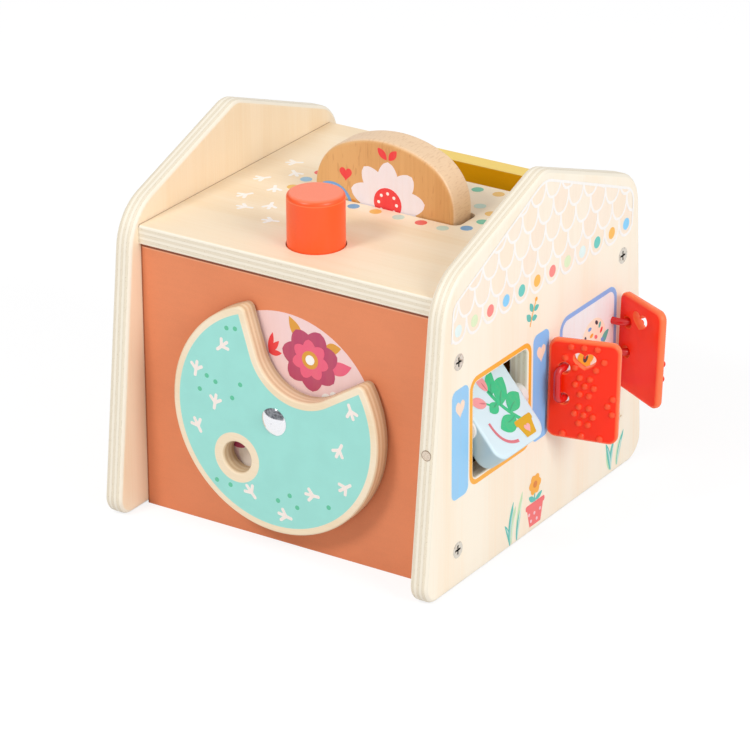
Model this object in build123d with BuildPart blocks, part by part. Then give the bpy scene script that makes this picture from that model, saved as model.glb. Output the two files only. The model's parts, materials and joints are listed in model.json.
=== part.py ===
from build123d import *
from math import asin, cos, degrees, hypot, radians, sin, sqrt
import os

# A wooden play house for babies. It has a turning disc on its front wall, a peg that
# lifts an arched disc out of the roof, a turning plaque in a window of its right wall,
# and two soft shutters beside it.
# The house stands on Z = 0 with the middle of its footprint at the origin. X runs to the
# right, Y to the back and Z up. All sizes are in mm.

# Panels
ply = 9.5
inner_width = 160.0
edge_round = 2.5
front_wall_y = -70.5
rear_wall_y = 75.3
wall_height = 132.7
base_ply = 5.0

# Outline of the two side panels
foot_depth = 196.4
front_setback = 17.0
rear_setback = 8.5
front_eave_height = 148.6
rear_eave_height = 147.5
ridge_y = 3.7
ridge_height = 178.6
front_foot_radius = 9.0
front_eave_radius = 27.0
ridge_radius = 14.0
rear_eave_radius = 20.0
rear_foot_radius = 12.0

# Deck
deck_overhang = 1.6
deck_round = 1.0
grip_half_width = 48.0
grip_front_y = 50.2

# Clearances
fixed_fit = 0.05
running_fit = 0.08
side_gap = 0.15
face_gap = 0.3
tongue_gap = 0.1

# Screws and dowels that hold the panels
screw_head = 8.0
screw_shank = 4.0
screw_length = 30.0
screw_low_z = 18.7
rear_screw_low_z = 28.0
screw_high_z = 111.5
cross_arm = 4.6
cross_width = 1.0
cross_depth = 1.2
deck_dowel = 5.0
deck_dowel_length = 20.0
deck_dowel_socket = 6.0
deck_dowel_y = 45.0

# Turning disc on the front wall
spinner_radius = 56.0
spinner_z = 66.0
spinner_round = 1.0
notch_angle = 69.6
notch_centre = 40.3
notch_radius = 24.5
notch_tip_round = 3.2
finger_angle = 228.0
finger_distance = 31.3
finger_hole = 15.4
rivet_shank = 6.0
rivet_head = 13.5
rivet_rise = 2.2
axial_gap = 0.1
washer_radius = 9.0
washer_thick = 0.8
cap_radius = 6.0
cap_length = 4.5
cap_wall = 1.0

# Peg in the deck
peg_x = 1.3
peg_y = -51.4
peg_width = 27.0
peg_top = 167.4
peg_round = 2.2
peg_play = 0.5
spigot = 12.0
retainer_thick = 8.0
retainer_half_x = 20.0
retainer_half_y = 8.0

# Arched disc that rises from the deck
arch_x = 4.0
arch_y = 8.8
arch_thick = 16.0
arch_half_width = 38.2
arch_side_radius = 25.6
arch_top_z = 175.0
arch_rise = 28.4
arch_round = 1.8
slot_side_play = 2.8
slot_face_play = 0.9
slot_radius = 4.0
foot_overhang = 3.0
foot_thick = 8.0
foot_screw_head = 6.4
foot_screw_shank = 3.5
foot_screw_length = 26.0
foot_screw_spread = 20.0

# Rocker under the deck, which joins the peg to the arched disc
travel = 20.0
tip_radius = 4.0
boss_radius = 7.0
lever_half_width = 7.0
lever_top = 1.0
lever_bottom = -6.0
pivot_pin = 6.0
pivot_drop = 22.6
bearing_gap = 3.0
bearing_width = 12.0
bearing_half_depth = 9.0
bearing_screw_head = 5.4
bearing_screw_shank = 3.0
bearing_screw_bite = 6.0
bearing_screw_spread = 6.0

# Window in the right panel and the plaque that turns in it
window_front_y = -57.9
window_back_y = -10.9
window_low_z = 48.9
window_high_z = 96.0
window_radius = 3.2
window_round = 0.8
plaque_z = 72.2
plaque_thick = 12.4
plaque_height = 42.8
plaque_front_y = -56.1
plaque_back_y = -15.4
plaque_radius = 7.0
plaque_round = 1.6
plaque_tilt = 40.0
plaque_axle = 5.0
axle_seat = 12.5
bush_radius = 5.5

# Two shutters on the right panel, and the loops that hold them
flap_thick = 4.2
flap_gap = 0.6
flap_low_z = 45.6
flap_high_z = 96.4
left_reach = 32.1
right_reach = 31.5
flap_taper = 0.7
flap_radius = 4.5
flap_round = 1.6
left_axis_y = 6.9
right_axis_y = 72.2
left_open = 73.5
right_open = 65.5
left_droop = 1.2
right_droop = 3.0
left_back = 1.9
right_back = 1.3
loop_rod = 3.5
loop_low_z = 66.3
loop_high_z = 81.7
loop_reach = 5.8
loop_hole = 5.6
loop_sweep = 102.0
loop_bend = 3.0
loop_leg = 7.5
heart_u = 15.3
heart_drop = 10.3
heart_width = 10.6
heart_height = 7.8
bump = 3.3
bump_rise = 1.0

# Raised dots on a shutter's outer face: how far out from its hinge and how far below
# its top each one lies
single_bumps = [
    (8.8, 3.6), (15.0, 3.4), (21.2, 3.4), (6.2, 9.3), (24.6, 9.3), (11.0, 13.7), (20.9, 13.8),
    (29.3, 27.2), (26.9, 31.1), (29.2, 35.0), (6.1, 47.6), (15.0, 47.8), (23.8, 48.0),
]
cluster_bumps = [
    (13.4, 0.0), (18.2, 0.2), (11.3, 3.6), (15.8, 4.0), (20.2, 4.5), (13.6, 8.3), (18.0, 8.6),
]
cluster_drops = [18.5, 33.1]

# Places worked out from the sizes above
inner_x = inner_width / 2
outer_x = inner_x + ply
front_inside_y = front_wall_y + ply / 2
front_outside_y = front_wall_y - ply / 2
rear_inside_y = rear_wall_y - ply / 2
rear_outside_y = rear_wall_y + ply / 2
deck_front_y = front_outside_y - deck_overhang
deck_back_y = rear_outside_y + deck_overhang
foot_front_y = -foot_depth / 2
disc_face_y = front_outside_y - washer_thick - axial_gap
axle_x = inner_x + ply / 2
axle_front_y = foot_front_y + front_setback / front_eave_height * plaque_z
flap_x = outer_x + flap_gap + flap_thick / 2
arch_spring_z = arch_top_z - arch_rise
lever_arm = (arch_y - peg_y) / 2
pivot_y = (arch_y + peg_y) / 2
pivot_z = wall_height - pivot_drop
lever_tilt = degrees(asin(travel / 2 / lever_arm))
retainer_low = pivot_z + travel / 2 + tip_radius + face_gap
foot_top = pivot_z - travel / 2 + tip_radius + face_gap + foot_thick
bearing_inner_x = lever_half_width + bearing_gap
bearing_outer_x = bearing_inner_x + bearing_width
bearing_low = pivot_z - boss_radius
bearing_screw_length = wall_height - bearing_low + bearing_screw_bite

os.makedirs("parts", exist_ok=True)


def keep(part, label):
    """Name a finished piece and write it to its own file."""
    part.label = label
    export_step(part, f"parts/{label}.step")


def facing_front(y):
    """The upright plane at depth y, with x to the right and z up. It extrudes forwards."""
    return Plane.XZ.offset(-y)


def side_screw_planes(side):
    """Where the four screws of a side panel start, looking out of its outer face."""
    return [
        Plane(origin=(side * outer_x, y, z), x_dir=(0, 1, 0), z_dir=(side, 0, 0))
        for y, low_z in ((front_wall_y, screw_low_z), (rear_wall_y, rear_screw_low_z))
        for z in (low_z, screw_high_z)
    ]


def deck_dowel_planes(side):
    """Where the deck's dowels cross a side panel's inner face, looking into the house."""
    z = wall_height + ply / 2
    return [
        Plane(origin=(side * inner_x, y, z), x_dir=(0, 1, 0), z_dir=(-side, 0, 0))
        for y in (-deck_dowel_y, deck_dowel_y)
    ]


def bearing_screw_planes(side):
    """Where the screws of a bearing block start, under the block."""
    x = side * (bearing_inner_x + bearing_outer_x) / 2
    return [
        Plane((x, pivot_y + dy, bearing_low), z_dir=(0, 0, -1))
        for dy in (-bearing_screw_spread, bearing_screw_spread)
    ]


def countersunk_screws(planes, head, shank, length, cross):
    """Screws with a flat head in each plane, reaching back from it by their length."""
    top = (Align.CENTER, Align.CENTER, Align.MAX)
    with BuildPart() as screws:
        with Locations(*planes):
            Cylinder(shank / 2, length, align=top)
            Cone(shank / 2, head / 2, (head - shank) / 2, align=top)
            Box(cross, cross_width, cross_depth, align=top, mode=Mode.SUBTRACT)
            Box(cross_width, cross, cross_depth, align=top, mode=Mode.SUBTRACT)
    return screws.part


def side_panel(side):
    """A gabled side panel. The left one has side -1 and the right one side 1."""
    outline = [
        (foot_front_y, 0),
        (foot_front_y + front_setback, front_eave_height),
        (ridge_y, ridge_height),
        (foot_depth / 2 - rear_setback, rear_eave_height),
        (foot_depth / 2, 0),
    ]
    radii = [front_foot_radius, front_eave_radius, ridge_radius, rear_eave_radius, rear_foot_radius]
    near_x = inner_x if side > 0 else -outer_x
    with BuildPart() as panel:
        with BuildSketch(Plane.YZ.offset(near_x)):
            with BuildLine():
                FilletPolyline(*outline, radius=radii, close=True)
            make_face()
        extrude(amount=ply)
        fillet(panel.faces().filter_by(Axis.X).edges(), edge_round)
        with Locations(*side_screw_planes(side)):
            CounterSinkHole(
                screw_shank / 2 + fixed_fit, screw_head / 2 + fixed_fit, ply, counter_sink_angle=90
            )
        with Locations(*deck_dowel_planes(side)):
            Cylinder(
                deck_dowel / 2 + fixed_fit,
                deck_dowel_socket,
                align=(Align.CENTER, Align.CENTER, Align.MAX),
                mode=Mode.SUBTRACT,
            )
    return panel.part


# Left panel
keep(side_panel(-1), "side_panel_left")

def in_window(point):
    """Whether a point of the right panel lies at the window, seen from the side."""
    deep = window_front_y - face_gap < point.Y < window_back_y + face_gap
    return deep and window_low_z - face_gap < point.Z < window_high_z + face_gap


# Right panel, with its window, the hole for the plaque's axle and the loops' sockets
window_depth = window_back_y - window_front_y
window_height = window_high_z - window_low_z
window_middle = ((window_front_y + window_back_y) / 2, (window_low_z + window_high_z) / 2)
axle_back_y = window_back_y + axle_seat
loop_socket_radius = loop_rod / 2 + fixed_fit
with BuildPart() as right_panel:
    add(side_panel(1))
    with BuildSketch(Plane.YZ.offset(inner_x)):
        with Locations(window_middle):
            RectangleRounded(window_depth, window_height, window_radius)
    extrude(amount=ply, mode=Mode.SUBTRACT)
    outer_edges = right_panel.edges().group_by(Axis.X)[-1]
    fillet([e for e in outer_edges if in_window(e.center())], window_round)
    with BuildSketch(facing_front(axle_back_y + fixed_fit)):
        with Locations((axle_x, plaque_z)):
            Circle(plaque_axle / 2 + fixed_fit)
    extrude(amount=axle_back_y + foot_depth / 2, mode=Mode.SUBTRACT)
    with BuildSketch(Plane.YZ.offset(outer_x)):
        with Locations(
            (left_axis_y + loop_reach, loop_low_z),
            (left_axis_y + loop_reach, loop_high_z),
            (right_axis_y - loop_reach, loop_low_z),
            (right_axis_y - loop_reach, loop_high_z),
        ):
            Circle(loop_socket_radius)
    extrude(amount=-loop_leg - fixed_fit, mode=Mode.SUBTRACT)
keep(right_panel.part, "side_panel_right")

# Screws through both side panels into the ends of the front and rear walls
for side, label in ((-1, "panel_screws_left"), (1, "panel_screws_right")):
    screws = countersunk_screws(
        side_screw_planes(side), screw_head, screw_shank, screw_length, cross_arm
    )
    keep(screws, label)

wall_screw_planes = side_screw_planes(-1) + side_screw_planes(1)

# Front wall, with the hole for the disc's rivet
with BuildPart() as front_wall:
    with BuildSketch(facing_front(front_inside_y)):
        with Locations((0, wall_height / 2)):
            Rectangle(inner_width, wall_height)
        with Locations((0, spinner_z)):
            Circle(rivet_shank / 2 + fixed_fit, mode=Mode.SUBTRACT)
    extrude(amount=ply)
    with Locations(*wall_screw_planes):
        Cylinder(
            screw_shank / 2 + fixed_fit,
            screw_length + fixed_fit,
            align=(Align.CENTER, Align.CENTER, Align.MAX),
            mode=Mode.SUBTRACT,
        )
keep(front_wall.part, "front_panel")

# Rear wall, with the tongue that closes the back of the grip opening
tongue_half_width = grip_half_width - tongue_gap
with BuildPart() as rear_wall:
    with BuildSketch(facing_front(rear_outside_y)):
        with Locations((0, wall_height / 2)):
            Rectangle(inner_width, wall_height)
        with Locations((0, wall_height + ply / 2)):
            Rectangle(2 * tongue_half_width, ply)
    extrude(amount=ply)
    with Locations(*wall_screw_planes):
        Cylinder(
            screw_shank / 2 + fixed_fit,
            screw_length + fixed_fit,
            align=(Align.CENTER, Align.CENTER, Align.MAX),
            mode=Mode.SUBTRACT,
        )
keep(rear_wall.part, "rear_panel")

# Base board between the four walls
with BuildPart() as base:
    with BuildSketch(Plane.XY):
        with Locations((0, (front_inside_y + rear_inside_y) / 2)):
            Rectangle(inner_width, rear_inside_y - front_inside_y)
    extrude(amount=base_ply)
keep(base.part, "base_board")

# Deck, with the peg's hole, the arched disc's slot and the grip opening at the back
slot_half_width = arch_half_width + slot_side_play
slot_depth = arch_thick + 2 * slot_face_play
grip_depth = deck_back_y - grip_front_y
with BuildPart() as deck:
    with BuildSketch(Plane.XY.offset(wall_height)):
        with Locations((0, (deck_front_y + deck_back_y) / 2)):
            Rectangle(inner_width, deck_back_y - deck_front_y)
    extrude(amount=ply)
    fillet(deck.edges().filter_by(Axis.X).group_by(Axis.Y)[0], deck_round)
    with BuildSketch(Plane.XY.offset(wall_height)):
        with Locations((peg_x, peg_y)):
            Circle(peg_width / 2 + peg_play)
        with Locations((arch_x, arch_y)):
            RectangleRounded(2 * slot_half_width, slot_depth, slot_radius)
        with Locations((0, deck_back_y - grip_depth / 2)):
            Rectangle(2 * grip_half_width, grip_depth)
    extrude(amount=ply, mode=Mode.SUBTRACT)
    with Locations(*deck_dowel_planes(-1), *deck_dowel_planes(1)):
        Cylinder(
            deck_dowel / 2 + fixed_fit,
            deck_dowel_length - deck_dowel_socket + fixed_fit,
            align=(Align.CENTER, Align.CENTER, Align.MIN),
            mode=Mode.SUBTRACT,
        )
    with Locations(*bearing_screw_planes(-1), *bearing_screw_planes(1)):
        Cylinder(
            bearing_screw_shank / 2 + fixed_fit,
            bearing_screw_length + fixed_fit,
            align=(Align.CENTER, Align.CENTER, Align.MAX),
            mode=Mode.SUBTRACT,
        )
keep(deck.part, "deck")

# Dowels between the deck and the side panels
with BuildPart() as dowels:
    with Locations(
        *[p.offset(-deck_dowel_socket) for p in deck_dowel_planes(-1) + deck_dowel_planes(1)]
    ):
        Cylinder(deck_dowel / 2, deck_dowel_length, align=(Align.CENTER, Align.CENTER, Align.MIN))
keep(dowels.part, "deck_dowels")


def polar(distance, angle):
    """A point on the turning disc, from its centre on the front wall."""
    return (distance * cos(radians(angle)), spinner_z + distance * sin(radians(angle)))


# Turning disc. Its notch is a round pocket that widens along tangents to the rim.
notch_half_angle = degrees(asin(notch_radius / notch_centre))
tangent_distance = sqrt(notch_centre**2 - notch_radius**2)
beyond_rim = 1.5 * spinner_radius
with BuildPart() as spinner:
    with BuildSketch(facing_front(disc_face_y)) as disc_face:
        with Locations((0, spinner_z)):
            Circle(spinner_radius)
        with Locations(polar(notch_centre, notch_angle)):
            Circle(notch_radius, mode=Mode.SUBTRACT)
        with BuildLine():
            Polyline(
                polar(tangent_distance, notch_angle - notch_half_angle),
                polar(beyond_rim, notch_angle - notch_half_angle),
                polar(beyond_rim, notch_angle + notch_half_angle),
                polar(tangent_distance, notch_angle + notch_half_angle),
                close=True,
            )
        make_face(mode=Mode.SUBTRACT)
        tips = disc_face.vertices().filter_by(
            lambda v: hypot(v.X, v.Y - spinner_z) > spinner_radius - face_gap and v.Y > spinner_z
        )
        fillet(tips, notch_tip_round)
        with Locations((0, spinner_z)):
            Circle(rivet_shank / 2 + running_fit, mode=Mode.SUBTRACT)
        with Locations(polar(finger_distance, finger_angle)):
            Circle(finger_hole / 2, mode=Mode.SUBTRACT)
    extrude(amount=ply)
    rims = spinner.faces().filter_by(Axis.Y).edges()
    bore_edges = rims.filter_by(GeomType.CIRCLE).sort_by(lambda e: e.radius)[:2]
    fillet([edge for edge in rims if edge not in bore_edges], spinner_round)
keep(spinner.part, "spinner_disc")

# Rivet through the disc's centre, with a domed head
rivet_face_y = disc_face_y - ply - axial_gap
rivet_end_y = front_inside_y + cap_length - cap_wall
dome_radius = (rivet_head**2 / 4 + rivet_rise**2) / (2 * rivet_rise)
with BuildPart() as rivet:
    with BuildSketch(Plane.XY.offset(spinner_z)):
        with BuildLine():
            RadiusArc((0, rivet_face_y - rivet_rise), (rivet_head / 2, rivet_face_y), -dome_radius)
            Polyline(
                (0, rivet_face_y - rivet_rise),
                (0, rivet_end_y),
                (rivet_shank / 2, rivet_end_y),
                (rivet_shank / 2, rivet_face_y),
                (rivet_head / 2, rivet_face_y),
            )
        make_face()
    revolve(axis=Axis((0, 0, spinner_z), (0, 1, 0)))
keep(rivet.part, "spinner_rivet")

# Spacer washer between the disc and the front wall
with BuildPart() as washer:
    with BuildSketch(facing_front(front_outside_y)):
        with Locations((0, spinner_z)):
            Circle(washer_radius)
            Circle(rivet_shank / 2 + fixed_fit, mode=Mode.SUBTRACT)
    extrude(amount=washer_thick)
keep(washer.part, "spinner_washer")

# Cap pressed on the rivet's end inside the house
with BuildPart() as cap:
    with BuildSketch(facing_front(front_inside_y + cap_length)):
        with Locations((0, spinner_z)):
            Circle(cap_radius)
    extrude(amount=cap_length)
    fillet(cap.faces().sort_by(Axis.Y)[-1].edges(), cap_wall)
    with BuildSketch(facing_front(rivet_end_y)):
        with Locations((0, spinner_z)):
            Circle(rivet_shank / 2 + fixed_fit)
    extrude(amount=cap_length - cap_wall, mode=Mode.SUBTRACT)
keep(cap.part, "spinner_cap")

# Peg, with a spigot that goes into its retainer
with BuildPart() as peg:
    with BuildSketch(Plane.XY.offset(retainer_low + retainer_thick)):
        with Locations((peg_x, peg_y)):
            Circle(peg_width / 2)
    extrude(amount=peg_top - retainer_low - retainer_thick)
    fillet(peg.edges().sort_by(Axis.Z)[-1], peg_round)
    with BuildSketch(Plane.XY.offset(retainer_low)):
        with Locations((peg_x, peg_y)):
            Circle(spigot / 2)
    extrude(amount=retainer_thick)
keep(peg.part, "peg")

# Retainer, the bar under the deck that keeps the peg in its hole
with BuildPart() as retainer:
    with BuildSketch(Plane.XY.offset(retainer_low)):
        with Locations((peg_x, peg_y)):
            Rectangle(2 * retainer_half_x, 2 * retainer_half_y)
            Circle(spigot / 2 + fixed_fit, mode=Mode.SUBTRACT)
    extrude(amount=retainer_thick)
keep(retainer.part, "peg_retainer")


def arch_outline(half_width, side_radius, spring_z, top_z):
    """Points of an arch of three arcs: where each of its two upper arcs starts and bends."""
    rise = top_z - spring_z
    side_x = half_width - side_radius
    crown_radius = (side_x**2 + rise**2 - side_radius**2) / (2 * (rise - side_radius))
    crown_z = top_z - crown_radius
    reach = hypot(side_x, spring_z - crown_z)
    join = (side_x / reach * crown_radius, crown_z + (spring_z - crown_z) / reach * crown_radius)
    turn = radians(90) - asin(side_x / reach)
    middle = (side_x + side_radius * cos(turn / 2), spring_z + side_radius * sin(turn / 2))
    return middle, join


# Arched disc
shoulder, crown_join = arch_outline(arch_half_width, arch_side_radius, arch_spring_z, arch_top_z)
left_spring = (arch_x - arch_half_width, arch_spring_z)
right_spring = (arch_x + arch_half_width, arch_spring_z)
left_join = (arch_x - crown_join[0], crown_join[1])
right_join = (arch_x + crown_join[0], crown_join[1])
with BuildPart() as arch:
    with BuildSketch(facing_front(arch_y + arch_thick / 2)):
        with BuildLine():
            Polyline(left_spring, (left_spring[0], foot_top), (right_spring[0], foot_top), right_spring)
            ThreePointArc(right_spring, (arch_x + shoulder[0], shoulder[1]), right_join)
            ThreePointArc(right_join, (arch_x, arch_top_z), left_join)
            ThreePointArc(left_join, (arch_x - shoulder[0], shoulder[1]), left_spring)
        make_face()
    extrude(amount=arch_thick)
    faces = arch.faces().filter_by(Axis.Y)
    fillet([e for e in faces.edges() if e.center().Z > foot_top + arch_round], arch_round)
    with Locations(
        Plane((arch_x - foot_screw_spread, arch_y, foot_top), z_dir=(0, 0, -1)),
        Plane((arch_x + foot_screw_spread, arch_y, foot_top), z_dir=(0, 0, -1)),
    ):
        Cylinder(
            foot_screw_shank / 2 + fixed_fit,
            foot_screw_length - foot_thick + fixed_fit,
            align=(Align.CENTER, Align.CENTER, Align.MAX),
            mode=Mode.SUBTRACT,
        )
keep(arch.part, "pop_up_disc")

# Foot bar under the arched disc, which keeps it in its slot
foot_half_width = slot_half_width + foot_overhang
foot_low = foot_top - foot_thick
foot_screw_planes = [
    Plane((arch_x + dx, arch_y, foot_low), z_dir=(0, 0, -1))
    for dx in (-foot_screw_spread, foot_screw_spread)
]
with BuildPart() as foot:
    with BuildSketch(Plane.XY.offset(foot_low)):
        with Locations((arch_x, arch_y)):
            Rectangle(2 * foot_half_width, arch_thick)
    extrude(amount=foot_thick)
    with Locations(*foot_screw_planes):
        CounterSinkHole(
            foot_screw_shank / 2 + fixed_fit,
            foot_screw_head / 2 + fixed_fit,
            foot_thick,
            counter_sink_angle=90,
        )
keep(foot.part, "pop_up_foot")
foot_screws = countersunk_screws(
    foot_screw_planes, foot_screw_head, foot_screw_shank, foot_screw_length, foot_screw_shank
)
keep(foot_screws, "pop_up_foot_screws")

# Rocker lever at rest: the peg's end is up and the arched disc's end is down
lever_angle = radians(-lever_tilt)
lever_plane = Plane(
    origin=(-lever_half_width, pivot_y, pivot_z),
    x_dir=(0, cos(lever_angle), sin(lever_angle)),
    z_dir=(1, 0, 0),
)
with BuildPart() as lever:
    with BuildSketch(lever_plane):
        with Locations((0, (lever_top + lever_bottom) / 2)):
            RectangleRounded(
                2 * (lever_arm + tip_radius), lever_top - lever_bottom, (lever_top - lever_bottom) / 3
            )
        with Locations((-lever_arm, 0), (lever_arm, 0)):
            Circle(tip_radius)
        Circle(boss_radius)
        Circle(pivot_pin / 2 + running_fit, mode=Mode.SUBTRACT)
    extrude(amount=2 * lever_half_width)
keep(lever.part, "rocker_lever")

# Pin that the rocker turns on
with BuildPart() as pivot:
    with BuildSketch(Plane.YZ.offset(-bearing_outer_x)):
        with Locations((pivot_y, pivot_z)):
            Circle(pivot_pin / 2)
    extrude(amount=2 * bearing_outer_x)
keep(pivot.part, "rocker_pivot")


# Two blocks under the deck that carry the pin
for side, label in ((-1, "rocker_bearing_left"), (1, "rocker_bearing_right")):
    near_x = bearing_inner_x if side > 0 else -bearing_outer_x
    with BuildPart() as bearing:
        with BuildSketch(Plane.YZ.offset(near_x)):
            with Locations((pivot_y, (bearing_low + wall_height) / 2)):
                Rectangle(2 * bearing_half_depth, wall_height - bearing_low)
            with Locations((pivot_y, pivot_z)):
                Circle(pivot_pin / 2 + fixed_fit, mode=Mode.SUBTRACT)
        extrude(amount=bearing_width)
        with Locations(*bearing_screw_planes(side)):
            CounterSinkHole(
                bearing_screw_shank / 2 + fixed_fit,
                bearing_screw_head / 2 + fixed_fit,
                wall_height - bearing_low,
                counter_sink_angle=90,
            )
    keep(bearing.part, label)

bearing_screws = countersunk_screws(
    bearing_screw_planes(-1) + bearing_screw_planes(1),
    bearing_screw_head,
    bearing_screw_shank,
    bearing_screw_length,
    bearing_screw_shank,
)
keep(bearing_screws, "bearing_screws")

# Plaque that turns in the window
plaque_depth = plaque_back_y - plaque_front_y
plaque_plane = Plane(
    origin=(axle_x, (plaque_front_y + plaque_back_y) / 2, plaque_z),
    x_dir=(0, 1, 0),
    z_dir=(cos(radians(plaque_tilt)), 0, sin(radians(plaque_tilt))),
)
with BuildPart() as plaque:
    with BuildSketch(plaque_plane):
        RectangleRounded(plaque_depth, plaque_height, plaque_radius)
    extrude(amount=plaque_thick / 2, both=True)
    rims = plaque.edges().group_by(lambda e: abs(plaque_plane.to_local_coords(e.center()).Z))[-1]
    fillet(rims, plaque_round)
    with BuildSketch(facing_front(plaque_back_y)):
        with Locations((axle_x, plaque_z)):
            Circle(plaque_axle / 2 + running_fit)
    extrude(amount=plaque_depth, mode=Mode.SUBTRACT)
keep(plaque.part, "window_plaque")

# Axle of the plaque, a dowel that shows on the panel's front edge
with BuildPart() as axle:
    with BuildSketch(facing_front(axle_back_y)):
        with Locations((axle_x, plaque_z)):
            Circle(plaque_axle / 2)
    extrude(amount=axle_back_y - axle_front_y)
keep(axle.part, "plaque_axle")

# Bushes that keep the plaque in the middle of the window
bush_spans = (
    ("plaque_bush_front", window_front_y + side_gap, plaque_front_y - side_gap),
    ("plaque_bush_rear", plaque_back_y + side_gap, window_back_y - side_gap),
)
for label, front_y, back_y in bush_spans:
    with BuildPart() as bush:
        with BuildSketch(facing_front(back_y)):
            with Locations((axle_x, plaque_z)):
                Circle(bush_radius)
                Circle(plaque_axle / 2 + fixed_fit, mode=Mode.SUBTRACT)
        extrude(amount=back_y - front_y)
    keep(bush.part, label)


# Heart that is cut through a shutter, round the middle of its own sketch
lobe = heart_width / 4
lobe_z = heart_height / 2 - lobe
flank_x = heart_width * 0.28
flank_z = -heart_height * 0.3
hip_x = heart_width / 2
hip_z = -heart_height * 0.1
tip = (0, -heart_height / 2)
with BuildSketch() as heart:
    with BuildLine():
        Bezier(tip, (-flank_x, flank_z), (-hip_x, hip_z), (-hip_x, lobe_z))
        ThreePointArc((-hip_x, lobe_z), (-lobe, heart_height / 2), (0, lobe_z))
        ThreePointArc((0, lobe_z), (lobe, heart_height / 2), (hip_x, lobe_z))
        Bezier((hip_x, lobe_z), (hip_x, hip_z), (flank_x, flank_z), tip)
    make_face()


def shutter(axis_y, closed_way, opened, droop, reach, back):
    """A soft shutter, standing open. closed_way is 1 where it shuts towards the back. It leans
    by droop about the middle of its loops. Its free edge lies at reach from the hinge line and
    its hinge edge at back on the other side of it."""
    out = Vector(sin(radians(opened)), closed_way * cos(radians(opened)), 0)
    up = Vector(0, 0, 1)
    height = flap_high_z - flap_low_z
    middle_z = (flap_high_z + flap_low_z) / 2
    hold_v = (loop_low_z + loop_high_z) / 2 - middle_z
    leaning_out = out * cos(radians(droop)) - up * sin(radians(droop))
    leaning_up = out * sin(radians(droop)) + up * cos(radians(droop))
    hold = Vector(flap_x, axis_y, middle_z) + out * loop_reach + up * hold_v
    flap_plane = Plane(
        origin=hold - leaning_out * loop_reach - leaning_up * hold_v,
        x_dir=leaning_out,
        z_dir=out.cross(up),
    )
    bump_places = single_bumps
    for drop in cluster_drops:
        bump_places = bump_places + [(u, drop + v) for u, v in cluster_bumps]
    with BuildPart() as flap:
        with BuildSketch(flap_plane) as face:
            with BuildLine():
                Polyline(
                    (-back, flap_taper - height / 2),
                    (reach, -height / 2),
                    (reach, height / 2),
                    (-back, height / 2 - flap_taper),
                    close=True,
                )
            make_face()
            fillet(face.vertices(), flap_radius)
        extrude(amount=flap_thick / 2, both=True)
        broad = flap.edges().group_by(lambda e: abs(flap_plane.to_local_coords(e.center()).Z))[-1]
        fillet(broad, flap_round)
        with BuildSketch(flap_plane.offset(-flap_thick)):
            with Locations((loop_reach, loop_low_z - middle_z), (loop_reach, loop_high_z - middle_z)):
                Circle(loop_hole / 2)
            with Locations((heart_u, height / 2 - heart_drop)):
                add(heart.sketch)
        extrude(amount=2 * flap_thick, mode=Mode.SUBTRACT)
        with BuildSketch(flap_plane.offset(closed_way * flap_thick / 2)):
            with Locations(*[(u, height / 2 - v) for u, v in bump_places]):
                Circle(bump / 2)
        extrude(amount=closed_way * bump_rise)
    return flap.part


def loop(axis_y, closed_way):
    """A rod bent round a shutter's hinge, through its two holes, with both ends in the panel."""
    def at(angle, z):
        return Vector(
            flap_x + loop_reach * sin(radians(angle)),
            axis_y + closed_way * loop_reach * cos(radians(angle)),
            z,
        )

    ahead = Vector(cos(radians(loop_sweep)), -closed_way * sin(radians(loop_sweep)), 0)
    slant = sin(radians(45))
    socket = Vector(outer_x - loop_leg, axis_y + closed_way * loop_reach, 0)
    low_end = at(loop_sweep, loop_low_z)
    high_end = at(loop_sweep, loop_high_z)
    up = Vector(0, 0, 1)
    low_bar = low_end + (ahead + up) * loop_bend
    high_bar = high_end + (ahead - up) * loop_bend
    low_middle = low_end + ahead * loop_bend * slant + up * loop_bend * (1 - slant)
    high_middle = high_end + ahead * loop_bend * slant - up * loop_bend * (1 - slant)
    with BuildPart() as rod:
        with BuildLine() as path:
            Line(socket + up * loop_low_z, at(0, loop_low_z))
            ThreePointArc(at(0, loop_low_z), at(loop_sweep / 2, loop_low_z), low_end)
            ThreePointArc(low_end, low_middle, low_bar)
            Line(low_bar, high_bar)
            ThreePointArc(high_bar, high_middle, high_end)
            ThreePointArc(high_end, at(loop_sweep / 2, loop_high_z), at(0, loop_high_z))
            Line(at(0, loop_high_z), socket + up * loop_high_z)
        with BuildSketch(Plane(origin=socket + up * loop_low_z, z_dir=(1, 0, 0))):
            Circle(loop_rod / 2)
        sweep(path=path.line)
    return rod.part


# Shutters and their loops
left_shutter = shutter(left_axis_y, 1, left_open, left_droop, left_reach, left_back)
right_shutter = shutter(right_axis_y, -1, right_open, right_droop, right_reach, right_back)
keep(left_shutter, "flap_left")
keep(right_shutter, "flap_right")
keep(loop(left_axis_y, 1), "flap_loop_left")
keep(loop(right_axis_y, -1), "flap_loop_right")
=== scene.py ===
"""The looks of a wooden play house for babies: its wood, paint, prints, shutters and stage.

The house stands on z = 0 with its front wall towards -y and its window side towards +x.
Drawings are given in millimetres on the face that carries them, and become metres here.
"""

import json
import math
from collections import namedtuple

import bmesh
import bpy
import numpy as np
from mathutils import Matrix, Vector
from mathutils.geometry import tessellate_polygon


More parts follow.
